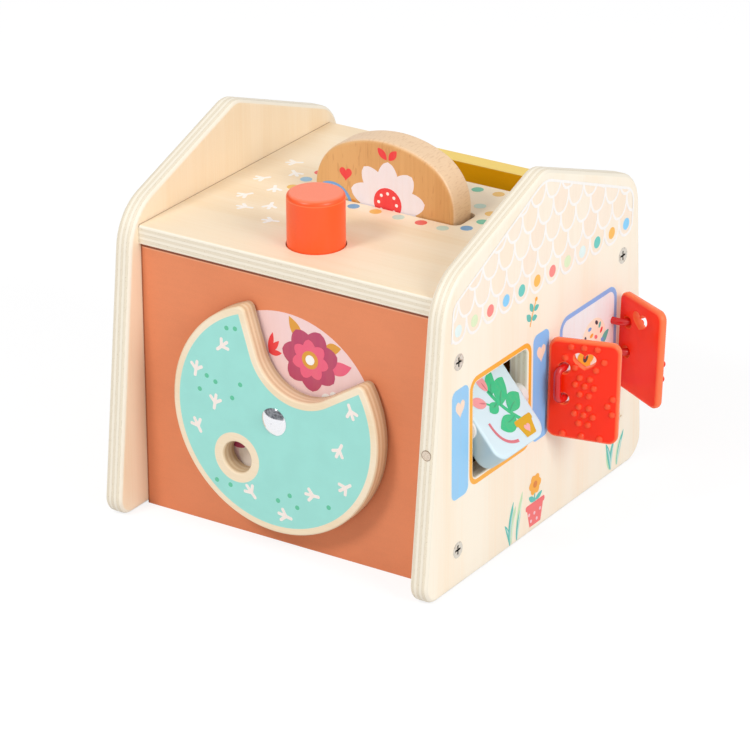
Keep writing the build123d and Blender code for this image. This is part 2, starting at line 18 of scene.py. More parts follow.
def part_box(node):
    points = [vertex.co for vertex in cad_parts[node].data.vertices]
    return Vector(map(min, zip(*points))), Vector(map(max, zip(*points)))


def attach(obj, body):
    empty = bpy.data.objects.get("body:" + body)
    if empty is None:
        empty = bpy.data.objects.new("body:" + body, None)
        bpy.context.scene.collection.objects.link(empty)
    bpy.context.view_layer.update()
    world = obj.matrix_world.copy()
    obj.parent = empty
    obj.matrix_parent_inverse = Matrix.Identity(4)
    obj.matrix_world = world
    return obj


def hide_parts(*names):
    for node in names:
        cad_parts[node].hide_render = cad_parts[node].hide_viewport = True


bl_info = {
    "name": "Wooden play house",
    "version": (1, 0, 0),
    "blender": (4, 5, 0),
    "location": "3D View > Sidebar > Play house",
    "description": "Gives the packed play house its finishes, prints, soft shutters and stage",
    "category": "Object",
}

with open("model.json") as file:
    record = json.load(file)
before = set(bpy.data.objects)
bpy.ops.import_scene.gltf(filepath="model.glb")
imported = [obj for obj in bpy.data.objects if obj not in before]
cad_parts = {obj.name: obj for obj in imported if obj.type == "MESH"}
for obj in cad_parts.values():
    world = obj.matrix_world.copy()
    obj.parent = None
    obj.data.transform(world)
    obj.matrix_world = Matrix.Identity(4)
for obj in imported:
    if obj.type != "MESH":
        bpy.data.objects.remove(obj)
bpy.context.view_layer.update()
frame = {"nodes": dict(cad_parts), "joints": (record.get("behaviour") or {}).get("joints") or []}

MM = 0.001
TURN = 2 * math.pi


def paint(red, green, blue):
    """A colour given as 0 to 255 display values, as the linear values that shaders take."""
    display = np.array((red, green, blue)) / 255
    linear = np.where(display <= 0.04045, display / 12.92, ((display + 0.055) / 1.055) ** 2.4)
    return tuple(float(value) for value in linear)


def toned(colour, share):
    """A darker tone of a colour: each of its values times the share."""
    return tuple(value * share for value in colour)


def colour_prop(name, description, red, green, blue):
    """A colour setting whose default is given as display values."""
    return bpy.props.FloatVectorProperty(
        name=name, description=description, subtype="COLOR", min=0, max=1,
        default=paint(red, green, blue),
    )


def length_prop(name, description, millimetres):
    """A length setting whose default is given in millimetres."""
    return bpy.props.FloatProperty(
        name=name, description=description, unit="LENGTH", default=millimetres * MM, precision=5,
    )


class WoodLook(bpy.types.PropertyGroup):
    """Colours of the bare wood and of the paints on it."""

    birch: colour_prop("Birch", "Face of the birch plywood", 250, 232, 204)
    birch_dark: colour_prop("Birch grain", "Grain of the birch plywood", 244, 220, 184)
    printed: colour_prop("Printed birch", "Pale face of the printed side panel", 255, 245, 226)
    printed_dark: colour_prop("Printed grain", "Grain of the printed side panel", 254, 236, 210)
    ply_light: colour_prop("Light ply", "Light layers on a cut edge", 246, 237, 219)
    ply_dark: colour_prop("Dark ply", "Dark layers on a cut edge", 234, 222, 199)
    beech: colour_prop("Beech", "Face of the arched disc", 226, 176, 114)
    beech_dark: colour_prop("Beech grain", "Grain of the arched disc", 208, 152, 90)
    beech_end: colour_prop("Beech rim", "Rim of the arched disc", 238, 204, 166)
    terracotta: colour_prop("Terracotta", "Paint of the front wall", 234, 143, 100)
    mustard: colour_prop("Mustard", "Paint of the rear wall", 230, 162, 4)
    aqua: colour_prop("Aqua", "Print on the turning disc", 160, 227, 216)
    orange: colour_prop("Orange", "Paint of the peg", 255, 88, 20)
    # Painted highlight: the peg's upper face in a paler orange, as where the light falls on it
    orange_top_highlight: colour_prop("Peg top", "Paint of the peg's upper face", 252, 128, 88)
    pale_blue: colour_prop("Pale blue", "Paint of the plaque", 222, 242, 250)
    blue_side: colour_prop("Plaque sides", "Paint of the plaque's sides", 184, 209, 217)
    ply_count: bpy.props.IntProperty(
        name="Plies", description="Layers in the plywood", default=7, min=3, max=13,
    )


class PrintLook(bpy.types.PropertyGroup):
    """Sizes and colours that the printed drawings share."""

    film: length_prop("Ink film", "Thickness of a layer of ink", 0.04)
    step: length_prop("Ink step", "Height between patches that may cross in a layer", 0.003)
    white: colour_prop("White ink", "Lines and tracks", 255, 252, 248)
    amber: colour_prop("Amber ink", "Window border and small motifs", 252, 176, 52)
    coral: colour_prop("Coral ink", "Coral dots and motifs", 247, 120, 124)
    red: colour_prop("Red ink", "Hearts and blossoms", 240, 60, 66)
    teal: colour_prop("Teal ink", "Teal dots and grass", 84, 196, 186)
    green: colour_prop("Green ink", "Leaves on the plaque", 46, 200, 138)
    mint: colour_prop("Mint ink", "Pale green dots and grass", 200, 232, 188)
    sky: colour_prop("Sky ink", "Sky blue strips and dots", 150, 208, 248)
    blue: colour_prop("Blue ink", "Blue dots and lines", 110, 172, 232)
    pink: colour_prop("Pink ink", "Picture ground", 248, 214, 212)
    magenta: colour_prop("Magenta ink", "Large blossom", 188, 66, 104)
    line: length_prop("Line", "Width of the roof's white lines", 1.35)
    tile_width: length_prop("Tile width", "Distance between roof tiles", 13.52)
    tile_row: length_prop("Tile row", "Height of a row of roof tiles", 10.5)


class ShutterLook(bpy.types.PropertyGroup):
    """Sizes and colours of the two soft shutters."""

    red: colour_prop("Red", "Soft plastic of the shutters", 255, 42, 4)
    # Painted glow: a paler colour on thin edges and dot tops, standing in for light coming through the
    # soft plastic
    rim: colour_prop("Rim", "Thin edges, where light comes through", 255, 128, 78)
    loop: colour_prop("Loops", "Hard plastic of the loops", 224, 22, 20)
    thick: length_prop("Thickness", "Thickness of a shutter", 4.2)
    left_reach: length_prop("Left reach", "From the left hinge to its free edge", 32.1)
    right_reach: length_prop("Right reach", "From the right hinge to its free edge", 31.5)
    taper: length_prop("Taper", "How much shorter the hinge edge is at each end", 0.7)
    corner: length_prop("Corner", "Radius of the corners", 4.5)
    edge: length_prop("Edge", "Radius of the rounded edges", 1.6)
    low: length_prop("Foot", "Height of the lower edge", 45.6)
    high: length_prop("Head", "Height of the upper edge", 96.4)
    left_open: bpy.props.FloatProperty(
        name="Left open", description="How far the left shutter stands open", subtype="ANGLE",
        default=math.radians(73.5),
    )
    right_open: bpy.props.FloatProperty(
        name="Right open", description="How far the right shutter stands open", subtype="ANGLE",
        default=math.radians(65.5),
    )
    left_droop: bpy.props.FloatProperty(
        name="Left droop", description="How far the left shutter leans", subtype="ANGLE",
        default=math.radians(1.2),
    )
    right_droop: bpy.props.FloatProperty(
        name="Right droop", description="How far the right shutter leans", subtype="ANGLE",
        default=math.radians(3.0),
    )


class StageLook(bpy.types.PropertyGroup):
    """Where the camera stands and how strong the lamps are."""

    camera: bpy.props.FloatVectorProperty(
        name="Camera", description="Where the camera stands", subtype="XYZ", unit="LENGTH",
        default=(0.9425, -1.4473, 0.8349),
    )
    target: bpy.props.FloatVectorProperty(
        name="Target", description="What the camera looks at", subtype="XYZ", unit="LENGTH",
        default=(-0.00616, 0.0083, 0.05224),
    )
    roll: bpy.props.FloatProperty(
        name="Roll", description="Turn of the camera about its view", subtype="ANGLE",
        default=math.radians(0.25),
    )
    lens: bpy.props.FloatProperty(
        name="Lens", description="Focal length in mm on a 36 mm wide sensor", default=192.6,
    )
    key: bpy.props.FloatProperty(name="Key", description="Power of the key lamp", default=15.6)
    side: bpy.props.FloatProperty(name="Side", description="Power of the side lamp", default=16.2)
    sky: bpy.props.FloatProperty(name="Sky", description="Strength of the even light", default=0.56)


LOOKS = {
    "house_wood": WoodLook,
    "house_print": PrintLook,
    "house_shutter": ShutterLook,
    "house_stage": StageLook,
}


class Term:
    """A number in a shader. Arithmetic on it adds the math nodes that work it out."""

    def __init__(self, recipe, socket):
        self.recipe = recipe
        self.socket = socket

    def do(self, operation, *others):
        """What a math node makes of this term and the others."""
        node = self.recipe.add("ShaderNodeMath", operation=operation)
        for socket, value in zip(node.inputs, (self, *others)):
            self.recipe.feed(socket, value)
        return Term(self.recipe, node.outputs[0])

    def __add__(self, other):
        return self.do("ADD", other)

    def __sub__(self, other):
        return self.do("SUBTRACT", other)

    def __rsub__(self, other):
        return self.do("MULTIPLY", -1) + other

    def __mul__(self, other):
        return self.do("MULTIPLY", other)

    def __truediv__(self, other):
        return self.do("DIVIDE", other)

    def ramp(self, low, high):
        """0 below low and 1 above high, with a smooth rise between them."""
        node = self.recipe.add("ShaderNodeMapRange", interpolation_type="SMOOTHSTEP")
        for name, value in (("Value", self), ("From Min", low), ("From Max", high)):
            self.recipe.feed(node.inputs[name], value)
        return Term(self.recipe, node.outputs["Result"])


def radial(across, up):
    """Distance of a point from the place where both terms are 0."""
    return (across * across + up * up).do("SQRT")


class Recipe:
    """One material's nodes, each added and linked by a short call."""

    def __init__(self, name):
        self.material = bpy.data.materials.new(name)
        self.material.use_nodes = True
        self.tree = self.material.node_tree
        self.shader = self.tree.nodes["Principled BSDF"]
        self.place = self.add("ShaderNodeTexCoord").outputs["Object"]
        parts = self.add("ShaderNodeSeparateXYZ", Vector=self.place)
        self.x, self.y, self.z = (Term(self, socket) for socket in parts.outputs)

    def add(self, kind, operation=None, interpolation_type=None, data_type=None, **values):
        """A new node with its settings. values fill or link its sockets by their names."""
        node = self.tree.nodes.new(kind)
        if operation:
            node.operation = operation
        if interpolation_type:
            node.interpolation_type = interpolation_type
        if data_type:
            node.data_type = data_type
        for name, value in values.items():
            self.feed(node.inputs[name], value)
        return node

    def feed(self, socket, value):
        """Links a socket to a term or a socket, or sets it to a plain value."""
        if isinstance(value, Term):
            value = value.socket
        if isinstance(value, bpy.types.NodeSocket):
            self.tree.links.new(value, socket)
        elif socket.type == "RGBA":
            socket.default_value = (*value[:3], 1)
        else:
            socket.default_value = value

    def noise(self, per_metre, detail=2.0, roughness=0.5):
        """Smooth noise, with so many spots in a metre along all axes, or along each of them."""
        stretch = self.add("ShaderNodeVectorMath", operation="MULTIPLY")
        self.feed(stretch.inputs[0], self.place)
        stretch.inputs[1].default_value = np.broadcast_to(per_metre, 3)
        node = self.add("ShaderNodeTexNoise", Scale=1.0, Detail=detail, Roughness=roughness)
        self.feed(node.inputs["Vector"], stretch.outputs["Vector"])
        return Term(self, node.outputs["Fac"])

    def mix(self, factor, first, second):
        """The first colour where the factor is 0 and the second where it is 1."""
        node = self.add("ShaderNodeMix", data_type="RGBA")
        self.feed(node.inputs[0], factor)
        self.feed(node.inputs[6], first)
        self.feed(node.inputs[7], second)
        return node.outputs[2]

    def bump(self, height, depth):
        """Relief of that depth, in metres, from a term between 0 and 1."""
        node = self.add("ShaderNodeBump", Height=height, Distance=depth, Strength=1.0)
        self.feed(self.shader.inputs["Normal"], node.outputs["Normal"])

    def set(self, **values):
        """Sets the shader's own sockets, named with _ for a space."""
        for name, value in values.items():
            self.feed(self.shader.inputs[name.replace("_", " ")], value)
        return self


# Where each axis stands in a place's three numbers
AXES = {"x": 0, "y": 1, "z": 2}


def stretched(along, across, lengthwise):
    """Spots in a metre on each axis, with few of them along the grain."""
    rates = [across] * 3
    rates[AXES[along]] = lengthwise
    return rates


def grain(recipe, along, light, dark):
    """Wood colour and its fine grain. The colour follows broad and fine streaks."""
    broad = recipe.noise(stretched(along, 45, 3), 2)
    fine = recipe.noise(stretched(along, 1100, 22), 3, 0.6)
    streaks = (broad * 0.72 + fine * 0.28).ramp(0.36, 0.7)
    return recipe.mix(streaks, light, dark), fine


def depth_in(recipe, node, axis):
    """0 at one face of a board and 1 at the other, across the board's thickness."""
    low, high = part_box(node)
    near, far = low[AXES[axis]], high[AXES[axis]]
    place = getattr(recipe, axis)
    return (place - near) / (far - near)


def plies(recipe, depth, along, light_layer, dark_layer):
    """Colour of a cut edge. The sine of the depth gives light and dark layers, whose borders
    wander and have thin lines of glue, and the dark layers have pores."""
    look = bpy.context.scene.house_wood
    layer = (depth * (look.ply_count * math.pi)).do("SINE")
    fine = recipe.noise(stretched(along, 1500, 70), 3, 0.65)
    specks = recipe.noise(1500, 1)
    wandering = layer + (fine - 0.5) * 1.3
    light = wandering.ramp(-0.55, 0.1)
    glue = (1 - wandering.do("ABSOLUTE").ramp(0.02, 0.22)) * fine.ramp(0.38, 0.52) * 0.7
    layered = recipe.mix(light, dark_layer, light_layer)
    pores = specks.ramp(0.64, 0.74) * (1 - light) * 0.3
    glued = recipe.mix(glue, layered, paint(186, 168, 134))
    return recipe.mix(pores, glued, paint(160, 138, 108))


def plywood(name, node, across, along, faces=None, layers=None, front=None):
    """Plywood with grain on its two faces and layers on its edges, each in a light and a dark
    colour. across is the axis through the board, along is the grain's, and front changes the
    colour in places."""
    look = bpy.context.scene.house_wood
    recipe = Recipe(name)
    depth = depth_in(recipe, node, across)
    bare, fine = grain(recipe, along, *(faces or (look.birch, look.birch_dark)))
    edge = plies(recipe, depth, along, *(layers or (look.ply_light, look.ply_dark)))
    inside = (depth - 0.5).do("ABSOLUTE").ramp(0.475, 0.492)
    colour = recipe.mix(inside, edge, bare)
    if front:
        colour = front(recipe, colour, depth)
    recipe.set(Base_Color=colour, Roughness=0.52, Coat_Weight=0.12, Coat_Roughness=0.35)
    recipe.bump(fine, 0.03 * MM)
    return recipe.material


# Where painted shade darkens the deck's and the front wall's ends, outwards from the middle
DECK_END = (79.25 * MM, 79.65 * MM)
WALL_END = (78.8 * MM, 79.7 * MM)


def deck_gap_shade(recipe, colour, depth):
    """Narrow dark lines where the deck's two ends meet the side panels: painted shade in the gaps
    there.
    """
    end = recipe.x.do("ABSOLUTE").ramp(*DECK_END) * depth.ramp(0.8, 0.99)
    return recipe.mix(end * 0.75, colour, paint(150, 116, 82))


def wall_gap_shade_and_highlight(recipe, colour):
    """The front wall's upper edge: painted shade in the gap under the deck, and below it a paler line,
    a painted highlight on the edge's rounding. The wall's two ends are darker too, painted shadow
    beside the side panels."""
    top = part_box("front_panel")[1].z
    # Painted highlight on the top edge's rounding, painted shade in the gap under the deck, painted
    # shadow at the two ends
    edge_highlight = recipe.z.ramp(top - 2.2 * MM, top - 1.9 * MM) * 0.4
    shut = recipe.z.ramp(top - 1.6 * MM, top - 1.3 * MM) * 0.85
    ends = recipe.x.do("ABSOLUTE").ramp(*WALL_END) * 0.6
    paler = recipe.mix(edge_highlight, colour, paint(248, 196, 160))
    return recipe.mix(shut.do("MAXIMUM", ends), paler, paint(126, 62, 40))


def peg_top_highlight(recipe, colour):
    """Painted highlights: the peg's upper face a paler orange, and a paler ring where its rounded edge
    starts.
    """
    look = bpy.context.scene.house_wood
    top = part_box("peg")[1].z
    # A painted highlight ring where the rounded edge starts, then the painted highlight on the upper
    # face
    highlight_ring = 1 - (recipe.z - (top - 2.4 * MM)).do("ABSOLUTE").ramp(0.1 * MM, 0.4 * MM)
    ring_lit = recipe.mix(highlight_ring * 0.35, colour, paint(255, 150, 96))
    upper = recipe.z.ramp(top - 0.9 * MM, top - 0.1 * MM) * 0.9
    return recipe.mix(upper, ring_lit, look.orange_top_highlight)


def rear_top_highlight(recipe, colour):
    """The rear wall's upper face, painted paler: a painted highlight where the light falls on it."""
    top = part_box("rear_panel")[1].z
    # Painted highlight on the upper face
    edge = recipe.z.ramp(top - 0.4 * MM, top - 0.1 * MM) * 0.9
    return recipe.mix(edge, colour, paint(246, 217, 122))


def painted(name, colour, along, details, roughness=0.5, coat=0.02):
    """Paint on wood: broad clouds, a trace of the grain, and the fine grain of a sprayed coat.
    details changes the colour in places, and a stronger coat of lacquer is glossier."""
    recipe = Recipe(name)
    cloud = recipe.noise(40, 3)
    fine = recipe.noise(stretched(along, 500, 60), 3, 0.6)
    spray = recipe.noise(2200, 2)
    tone = (cloud * 0.5 + fine * 0.2 + spray * 0.3).ramp(0.36, 0.62)
    shown = details(recipe, recipe.mix(tone, toned(colour, 0.94), colour))
    recipe.set(Base_Color=shown, Roughness=roughness, Coat_Weight=coat, Coat_Roughness=0.3)
    recipe.set(Specular_IOR_Level=0.15 + coat * 1.75)
    recipe.bump(spray, 0.02 * MM)
    return recipe.material


def solid_wood(name, light, dark, along):
    """Plain hardwood with its grain along one axis."""
    recipe = Recipe(name)
    colour, fine = grain(recipe, along, light, dark)
    recipe.set(Base_Color=colour, Roughness=0.55)
    recipe.bump(fine, 0.04 * MM)
    return recipe.material


def beech_disc():
    """Beech with vertical grain and short flecks on its faces and a paler rim."""
    look = bpy.context.scene.house_wood
    recipe = Recipe("beech_disc")
    colour, fine = grain(recipe, "z", look.beech, look.beech_dark)
    flecks = recipe.noise((800, 800, 150), 1).ramp(0.64, 0.7) * 0.35
    face = recipe.mix(flecks, colour, paint(190, 128, 74))
    rim_flecks = recipe.noise((1600, 300, 1600), 2).ramp(0.5, 0.7) * 0.5
    rim = recipe.mix(rim_flecks, look.beech_end, paint(216, 174, 132))
    depth = depth_in(recipe, "pop_up_disc", "y")
    faces = (depth - 0.5).do("ABSOLUTE").ramp(0.44, 0.49)
    recipe.set(Base_Color=recipe.mix(faces, rim, face), Roughness=0.5)
    recipe.set(Coat_Weight=0.15, Coat_Roughness=0.3)
    recipe.bump(fine, 0.05 * MM)
    return recipe.material


# The turning disc's notch and finger hole, from the disc's centre
NOTCH_AXIS = math.radians(69.6)
NOTCH_CENTRE = 40.3 * MM
NOTCH_RADIUS = 24.5 * MM
FINGER_PLACE = (31.3 * MM, math.radians(228.0))
FINGER_RING = 12.4 * MM
BARE_RIM = 3.5 * MM
PRINT_SOFT = 0.08 * MM


def aqua_face(recipe, colour, depth):
    """The turning disc's print. It stays a rim's width inside the disc's edge and its notch,
    worked out from the distance to the edge's circle, to the notch's round pocket and its two
    straight sides, and to a ring round the finger hole. The cut edge is browner towards the wall: the
    burn of the cutting, and painted shade in the gap behind the disc."""
    look = bpy.context.scene.house_wood
    low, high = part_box("spinner_disc")
    radius = (high.x - low.x) / 2
    centre_z = low.z + radius
    across, up = recipe.x, recipe.z - centre_z
    ahead = across * math.cos(NOTCH_AXIS) + up * math.sin(NOTCH_AXIS)
    aside = (across * -math.sin(NOTCH_AXIS) + up * math.cos(NOTCH_AXIS)).do("ABSOLUTE")
    pocket = radial(ahead - NOTCH_CENTRE, aside) - NOTCH_RADIUS
    half = math.asin(NOTCH_RADIUS / NOTCH_CENTRE)
    past = ahead * math.cos(half) + aside * math.sin(half)
    side = aside * math.cos(half) - ahead * math.sin(half)
    touch = NOTCH_CENTRE * math.cos(half)
    straight = past.ramp(touch, touch + 0.01 * MM)
    notch = side * straight + pocket * (1 - straight)
    reach, turn = FINGER_PLACE
    hole = radial(across - reach * math.cos(turn), up - reach * math.sin(turn)) - FINGER_RING
    inside = (radius - radial(across, up)).do("MINIMUM", notch) - BARE_RIM
    print_mask = inside.do("MINIMUM", hole).ramp(-PRINT_SOFT, PRINT_SOFT)
    on_front = (1 - depth).ramp(0.992, 0.996)
    tone = recipe.noise(90, 2).ramp(0.3, 0.7)
    aqua = recipe.mix(tone, look.aqua, toned(look.aqua, 0.965))
    # The cut edge browner towards the wall: the burn of the cutting, and painted shade in the gap
    # behind the disc
    burnt_and_shaded = recipe.mix(depth.ramp(0.42, 0.98) * 0.52, colour, paint(132, 92, 62))
    return recipe.mix(print_mask * on_front, burnt_and_shaded, aqua)


def plaque_paint():
    """Pale blue paint on the plaque's two broad faces and grey blue on its sides. The place
    along the face's own normal tells them apart."""
    look = bpy.context.scene.house_wood
    recipe = Recipe("plaque_paint")
    right = (recipe.x - PLAQUE.origin[0]) * PLAQUE.normal[0]
    above = (recipe.z - PLAQUE.origin[2]) * PLAQUE.normal[2]
    depth = ((right + above) / PLAQUE_THICK + 0.5).do("ABSOLUTE")
    faces = depth.ramp(0.40, 0.46)
    cloud = recipe.noise(70, 2)
    sides = recipe.mix(cloud.ramp(0.3, 0.7), look.blue_side, toned(look.blue_side, 0.94))
    recipe.set(Base_Color=recipe.mix(faces, sides, look.pale_blue), Roughness=0.42)
    recipe.set(Coat_Weight=0.2, Coat_Roughness=0.25)
    recipe.bump(recipe.noise(300, 2), 0.02 * MM)
    return recipe.material


# Screws behind the first place and below the second are filled over
REAR_SCREWS = (50 * MM, 52 * MM)
LOWER_SCREWS = (40 * MM, 42 * MM)


def screw_steel():
    """Zinc-plated steel. The cross cut into each head below the panel's face is painted near black, as
    shade in the recess. The lower screws at the rear wall are filled over in the colour of the wood."""
    level = SIDE.origin[0]
    recipe = Recipe("screw_steel")
    scratches = recipe.noise(2600, 2)
    # Painted shade: near black in the cross recess, below the head's face
    sunk = recipe.x.do("ABSOLUTE").ramp(level - 0.2 * MM, level - 0.08 * MM)
    blotches = recipe.noise(900, 2).ramp(0.5, 0.7)
    steel = recipe.mix(blotches, paint(220, 214, 202), paint(176, 162, 140))
    bare = recipe.mix(sunk, paint(12, 9, 8), steel)
    filled = recipe.y.ramp(*REAR_SCREWS) * (1 - recipe.z.ramp(*LOWER_SCREWS))
    recipe.set(Base_Color=recipe.mix(filled, bare, paint(252, 240, 218)))
    recipe.set(Metallic=sunk * (1 - filled) * 0.5)
    recipe.set(Roughness=scratches * 0.2 + 0.24)
    recipe.bump(scratches, 0.01 * MM)
    return recipe.material


def plain_steel():
    """Steel of the hidden screws and the rocker's pin."""
    recipe = Recipe("plain_steel")
    scratches = recipe.noise((900, 900, 90), 2)
    recipe.set(Base_Color=recipe.mix(scratches, paint(205, 204, 202), paint(176, 174, 170)))
    recipe.set(Metallic=1.0, Roughness=scratches * 0.2 + 0.25)
    return recipe.material


def polished_metal():
    """Bright plate on the rivet, with very fine wear."""
    recipe = Recipe("polished_metal")
    wear = recipe.noise(1800, 2)
    recipe.set(Base_Color=recipe.mix(wear, paint(246, 246, 248), paint(226, 227, 231)))
    recipe.set(Metallic=1.0, Roughness=wear * 0.08 + 0.05)
    return recipe.material


def axle_end():
    """The plaque's dowel: pale wood with fine grain, and a dark joint round it."""
    recipe = Recipe("axle_end")
    low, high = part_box("plaque_axle")
    distance = radial(recipe.x - (low.x + high.x) / 2, recipe.z - (low.z + high.z) / 2)
    fine = recipe.noise((1500, 200, 1500), 2)
    wood = recipe.mix(fine.ramp(0.4, 0.65), paint(232, 216, 198), paint(214, 194, 172))
    recipe.set(Base_Color=recipe.mix(distance.ramp(2.1 * MM, 2.4 * MM), wood, paint(140, 112, 84)))
    recipe.set(Roughness=0.6)
    recipe.bump(fine, 0.04 * MM)
    return recipe.material


def moulded(name, colour, roughness):
    """Glossy moulded plastic with a faint unevenness."""
    recipe = Recipe(name)
    cloud = recipe.noise(220, 2)
    recipe.set(Base_Color=recipe.mix(cloud, colour, toned(colour, 0.93)))
    recipe.set(Roughness=roughness, Coat_Weight=0.3, Coat_Roughness=0.1)
    recipe.bump(cloud, 0.03 * MM)
    return recipe.material


PRINT_INK = "print_ink"


def printed_ink():
    """Printed ink. Each patch has its own colour, and the wood's grain shows a little in it."""
    recipe = Recipe(PRINT_INK)
    ink = recipe.add("ShaderNodeAttribute")
    ink.attribute_name = "ink"
    streaks = recipe.noise((500, 500, 40), 3, 0.6).ramp(0.35, 0.7)
    shade = recipe.mix(streaks * 0.06, ink.outputs["Color"], paint(214, 170, 120))
    recipe.set(Base_Color=shade, Roughness=0.5, Coat_Weight=0.1, Coat_Roughness=0.3)


def soft_red():
    """Soft plastic that light goes into, with a weak emission: painted glow for the light that comes
    out again. Its thin edges and the tops of its dots are paler by the piece's rim value: painted glow
    too."""
    look = bpy.context.scene.house_shutter
    recipe = Recipe("soft_red")
    rim = recipe.add("ShaderNodeAttribute")
    rim.attribute_name = "rim"
    cloud = recipe.noise((120, 120, 60), 2)
    body = recipe.mix(cloud.ramp(0.3, 0.7), look.red, toned(look.red, 0.92))
    recipe.set(Base_Color=recipe.mix(Term(recipe, rim.outputs["Fac"]), body, look.rim))
    recipe.set(Roughness=0.26, Subsurface_Weight=0.15, Subsurface_Scale=3 * MM)
    recipe.set(Subsurface_Radius=(1.0, 0.12, 0.03), Specular_IOR_Level=0.3)
    # Painted glow: a weak emission for light coming back out of the soft plastic
    recipe.set(Emission_Color=(1.0, 0.03, 0.0), Emission_Strength=0.1)
    recipe.bump(cloud, 0.04 * MM)
    return recipe.material


Face = namedtuple("Face", "origin across up normal body slot")
Patch = namedtuple("Patch", "grid closed colour layer")


def face_of(origin, across, up, body, slot):
    """A flat face that carries a print. Its normal is across times up."""
    across, up = np.array(across, float), np.array(up, float)
    return Face(np.array(origin, float), across, up, np.cross(across, up), body, slot)


def joint(name):
    """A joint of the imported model, by name."""
    return next(j for j in frame["joints"] if j["name"] == name)


PLAQUE_TILT = math.radians(40.0)
PLAQUE_THICK = 12.4 * MM
PLAQUE_NORMAL = (math.cos(PLAQUE_TILT), 0, math.sin(PLAQUE_TILT))
PLAQUE_AXIS = Vector(joint("plaque_turn")["pos_m"])

SIDE = face_of((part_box("side_panel_right")[1].x, 0, 0), (0, 1, 0), (0, 0, 1), "house", "printed_ply")
DECK = face_of((0, 0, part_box("deck")[1].z), (1, 0, 0), (0, 1, 0), "house", "birch_ply")
WALL = face_of((0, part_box("front_panel")[0].y, 0), (1, 0, 0), (0, 0, 1), "house", "terracotta_ply")
DISC = face_of((0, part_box("spinner_disc")[0].y, 0), (1, 0, 0), (0, 0, 1), "spinner", "aqua_ply")
ARCH = face_of((0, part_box("pop_up_disc")[0].y, 0), (1, 0, 0), (0, 0, 1), "pop_up", "beech")
PLAQUE = face_of(
    PLAQUE_AXIS + Vector(PLAQUE_NORMAL) * PLAQUE_THICK / 2, (0, 1, 0),
    (-math.sin(PLAQUE_TILT), 0, math.cos(PLAQUE_TILT)), "plaque", "pale_blue_wood",
)


def unit(angle):
    """The step of length 1 at an angle."""
    return np.array((math.cos(angle), math.sin(angle)))


def circle(centre, radius, count=40):
    """Points round a circle."""
    angle = np.arange(count) * TURN / count
    return np.array(centre) + radius * np.stack((np.cos(angle), np.sin(angle)), axis=1)


def rounded_box(low, high, radius, steps=7):
    """A rectangle with round corners: a quarter circle round each corner's own centre."""
    angle = np.linspace(0, TURN / 4, steps) + TURN / 4 * np.arange(4)[:, None]
    middle = (np.array(low) + np.array(high)) / 2
    half = (np.array(high) - np.array(low)) / 2 - radius
    side_x = half[0] * np.array((1, -1, -1, 1))[:, None]
    side_y = half[1] * np.array((1, 1, -1, -1))[:, None]
    points = np.stack((side_x + radius * np.cos(angle), side_y + radius * np.sin(angle)), axis=2)
    return middle + points.reshape(-1, 2)


def heart(centre, width, height, count=56):
    """A heart: across it goes with the cube of a sine and up with a sum of four cosines."""
    t = np.arange(count) * TURN / count
    across = np.sin(t) ** 3 * width / 2
    up = (13 * np.cos(t) - 5 * np.cos(2 * t) - 2 * np.cos(3 * t) - np.cos(4 * t)) / 29 * height
    return np.array(centre) + np.stack((across, up), axis=1)


def fill(boundary, colour, layer=0):
    """The area inside a closed line: each point of it joined to their middle, which sees all."""
    middle = np.repeat(boundary.mean(axis=0)[None], len(boundary), axis=0)
    return Patch(np.stack((middle, boundary)), True, colour, layer)


def ring(inner, outer, colour, layer=0):
    """The area between two closed lines with the same number of points."""
    return Patch(np.stack((inner, outer)), True, colour, layer)


def band(path, width, colour, layer=0):
    """A strip along a path: each point of it moved half the width to both sides."""
    along = np.gradient(path, axis=0)
    along /= np.linalg.norm(along, axis=1, keepdims=True)
    sideways = np.stack((-along[:, 1], along[:, 0]), axis=1)
    half = (np.broadcast_to(width, len(path)) / 2)[:, None]
    return Patch(np.stack((path - sideways * half, path + sideways * half)), False, colour, layer)


def dot(centre, radius, colour, layer=0):
    """A round spot."""
    return fill(circle(centre, radius, 28), colour, layer)


def dots(centres, radius, colour, layer=0):
    """Round spots of one size and colour."""
    return [dot(centre, radius, colour, layer) for centre in centres]


def curve(start, bend, end, count=14):
    """A smooth line from start to end that is drawn towards the bend (a quadratic curve)."""
    t = np.linspace(0, 1, count)[:, None]
    return (1 - t) ** 2 * np.array(start) + 2 * t * (1 - t) * np.array(bend) + t ** 2 * np.array(end)


def leaf(base, tip, width, colour, layer=0, sag=0.0, fullness=0.8):
    """A leaf or petal: a strip whose width follows a power of a sine from base to tip."""
    base, tip = np.array(base, float), np.array(tip, float)
    along = tip - base
    bend = (base + tip) / 2 + sag * np.array((-along[1], along[0]))
    path = curve(base, bend, tip, 18)
    t = np.linspace(0, 1, len(path))
    swell = np.clip(np.sin(math.pi * t), 0, None) ** fullness
    return band(path, width * swell + 0.02, colour, layer)


def blossom(centre, radius, petals, width, colour, layer=0, inner=0.15, turn=0.0):
    """A ring of petals round a centre, each from the inner share of the radius to its end."""
    angles = turn + np.arange(petals) * TURN / petals
    reach = radius * np.stack((np.cos(angles), np.sin(angles)), axis=1)
    foot, tip = np.array(centre) + inner * reach, np.array(centre) + reach
    return [leaf(*ends, width, colour, layer, fullness=0.55) for ends in zip(foot, tip)]


# Turn in degrees and length of each toe of a footprint, and the toes' width
TOES = ((-50, 0.6), (0, 0.66), (50, 0.6), (180, 0.48))
TOE_WIDTH = 0.27


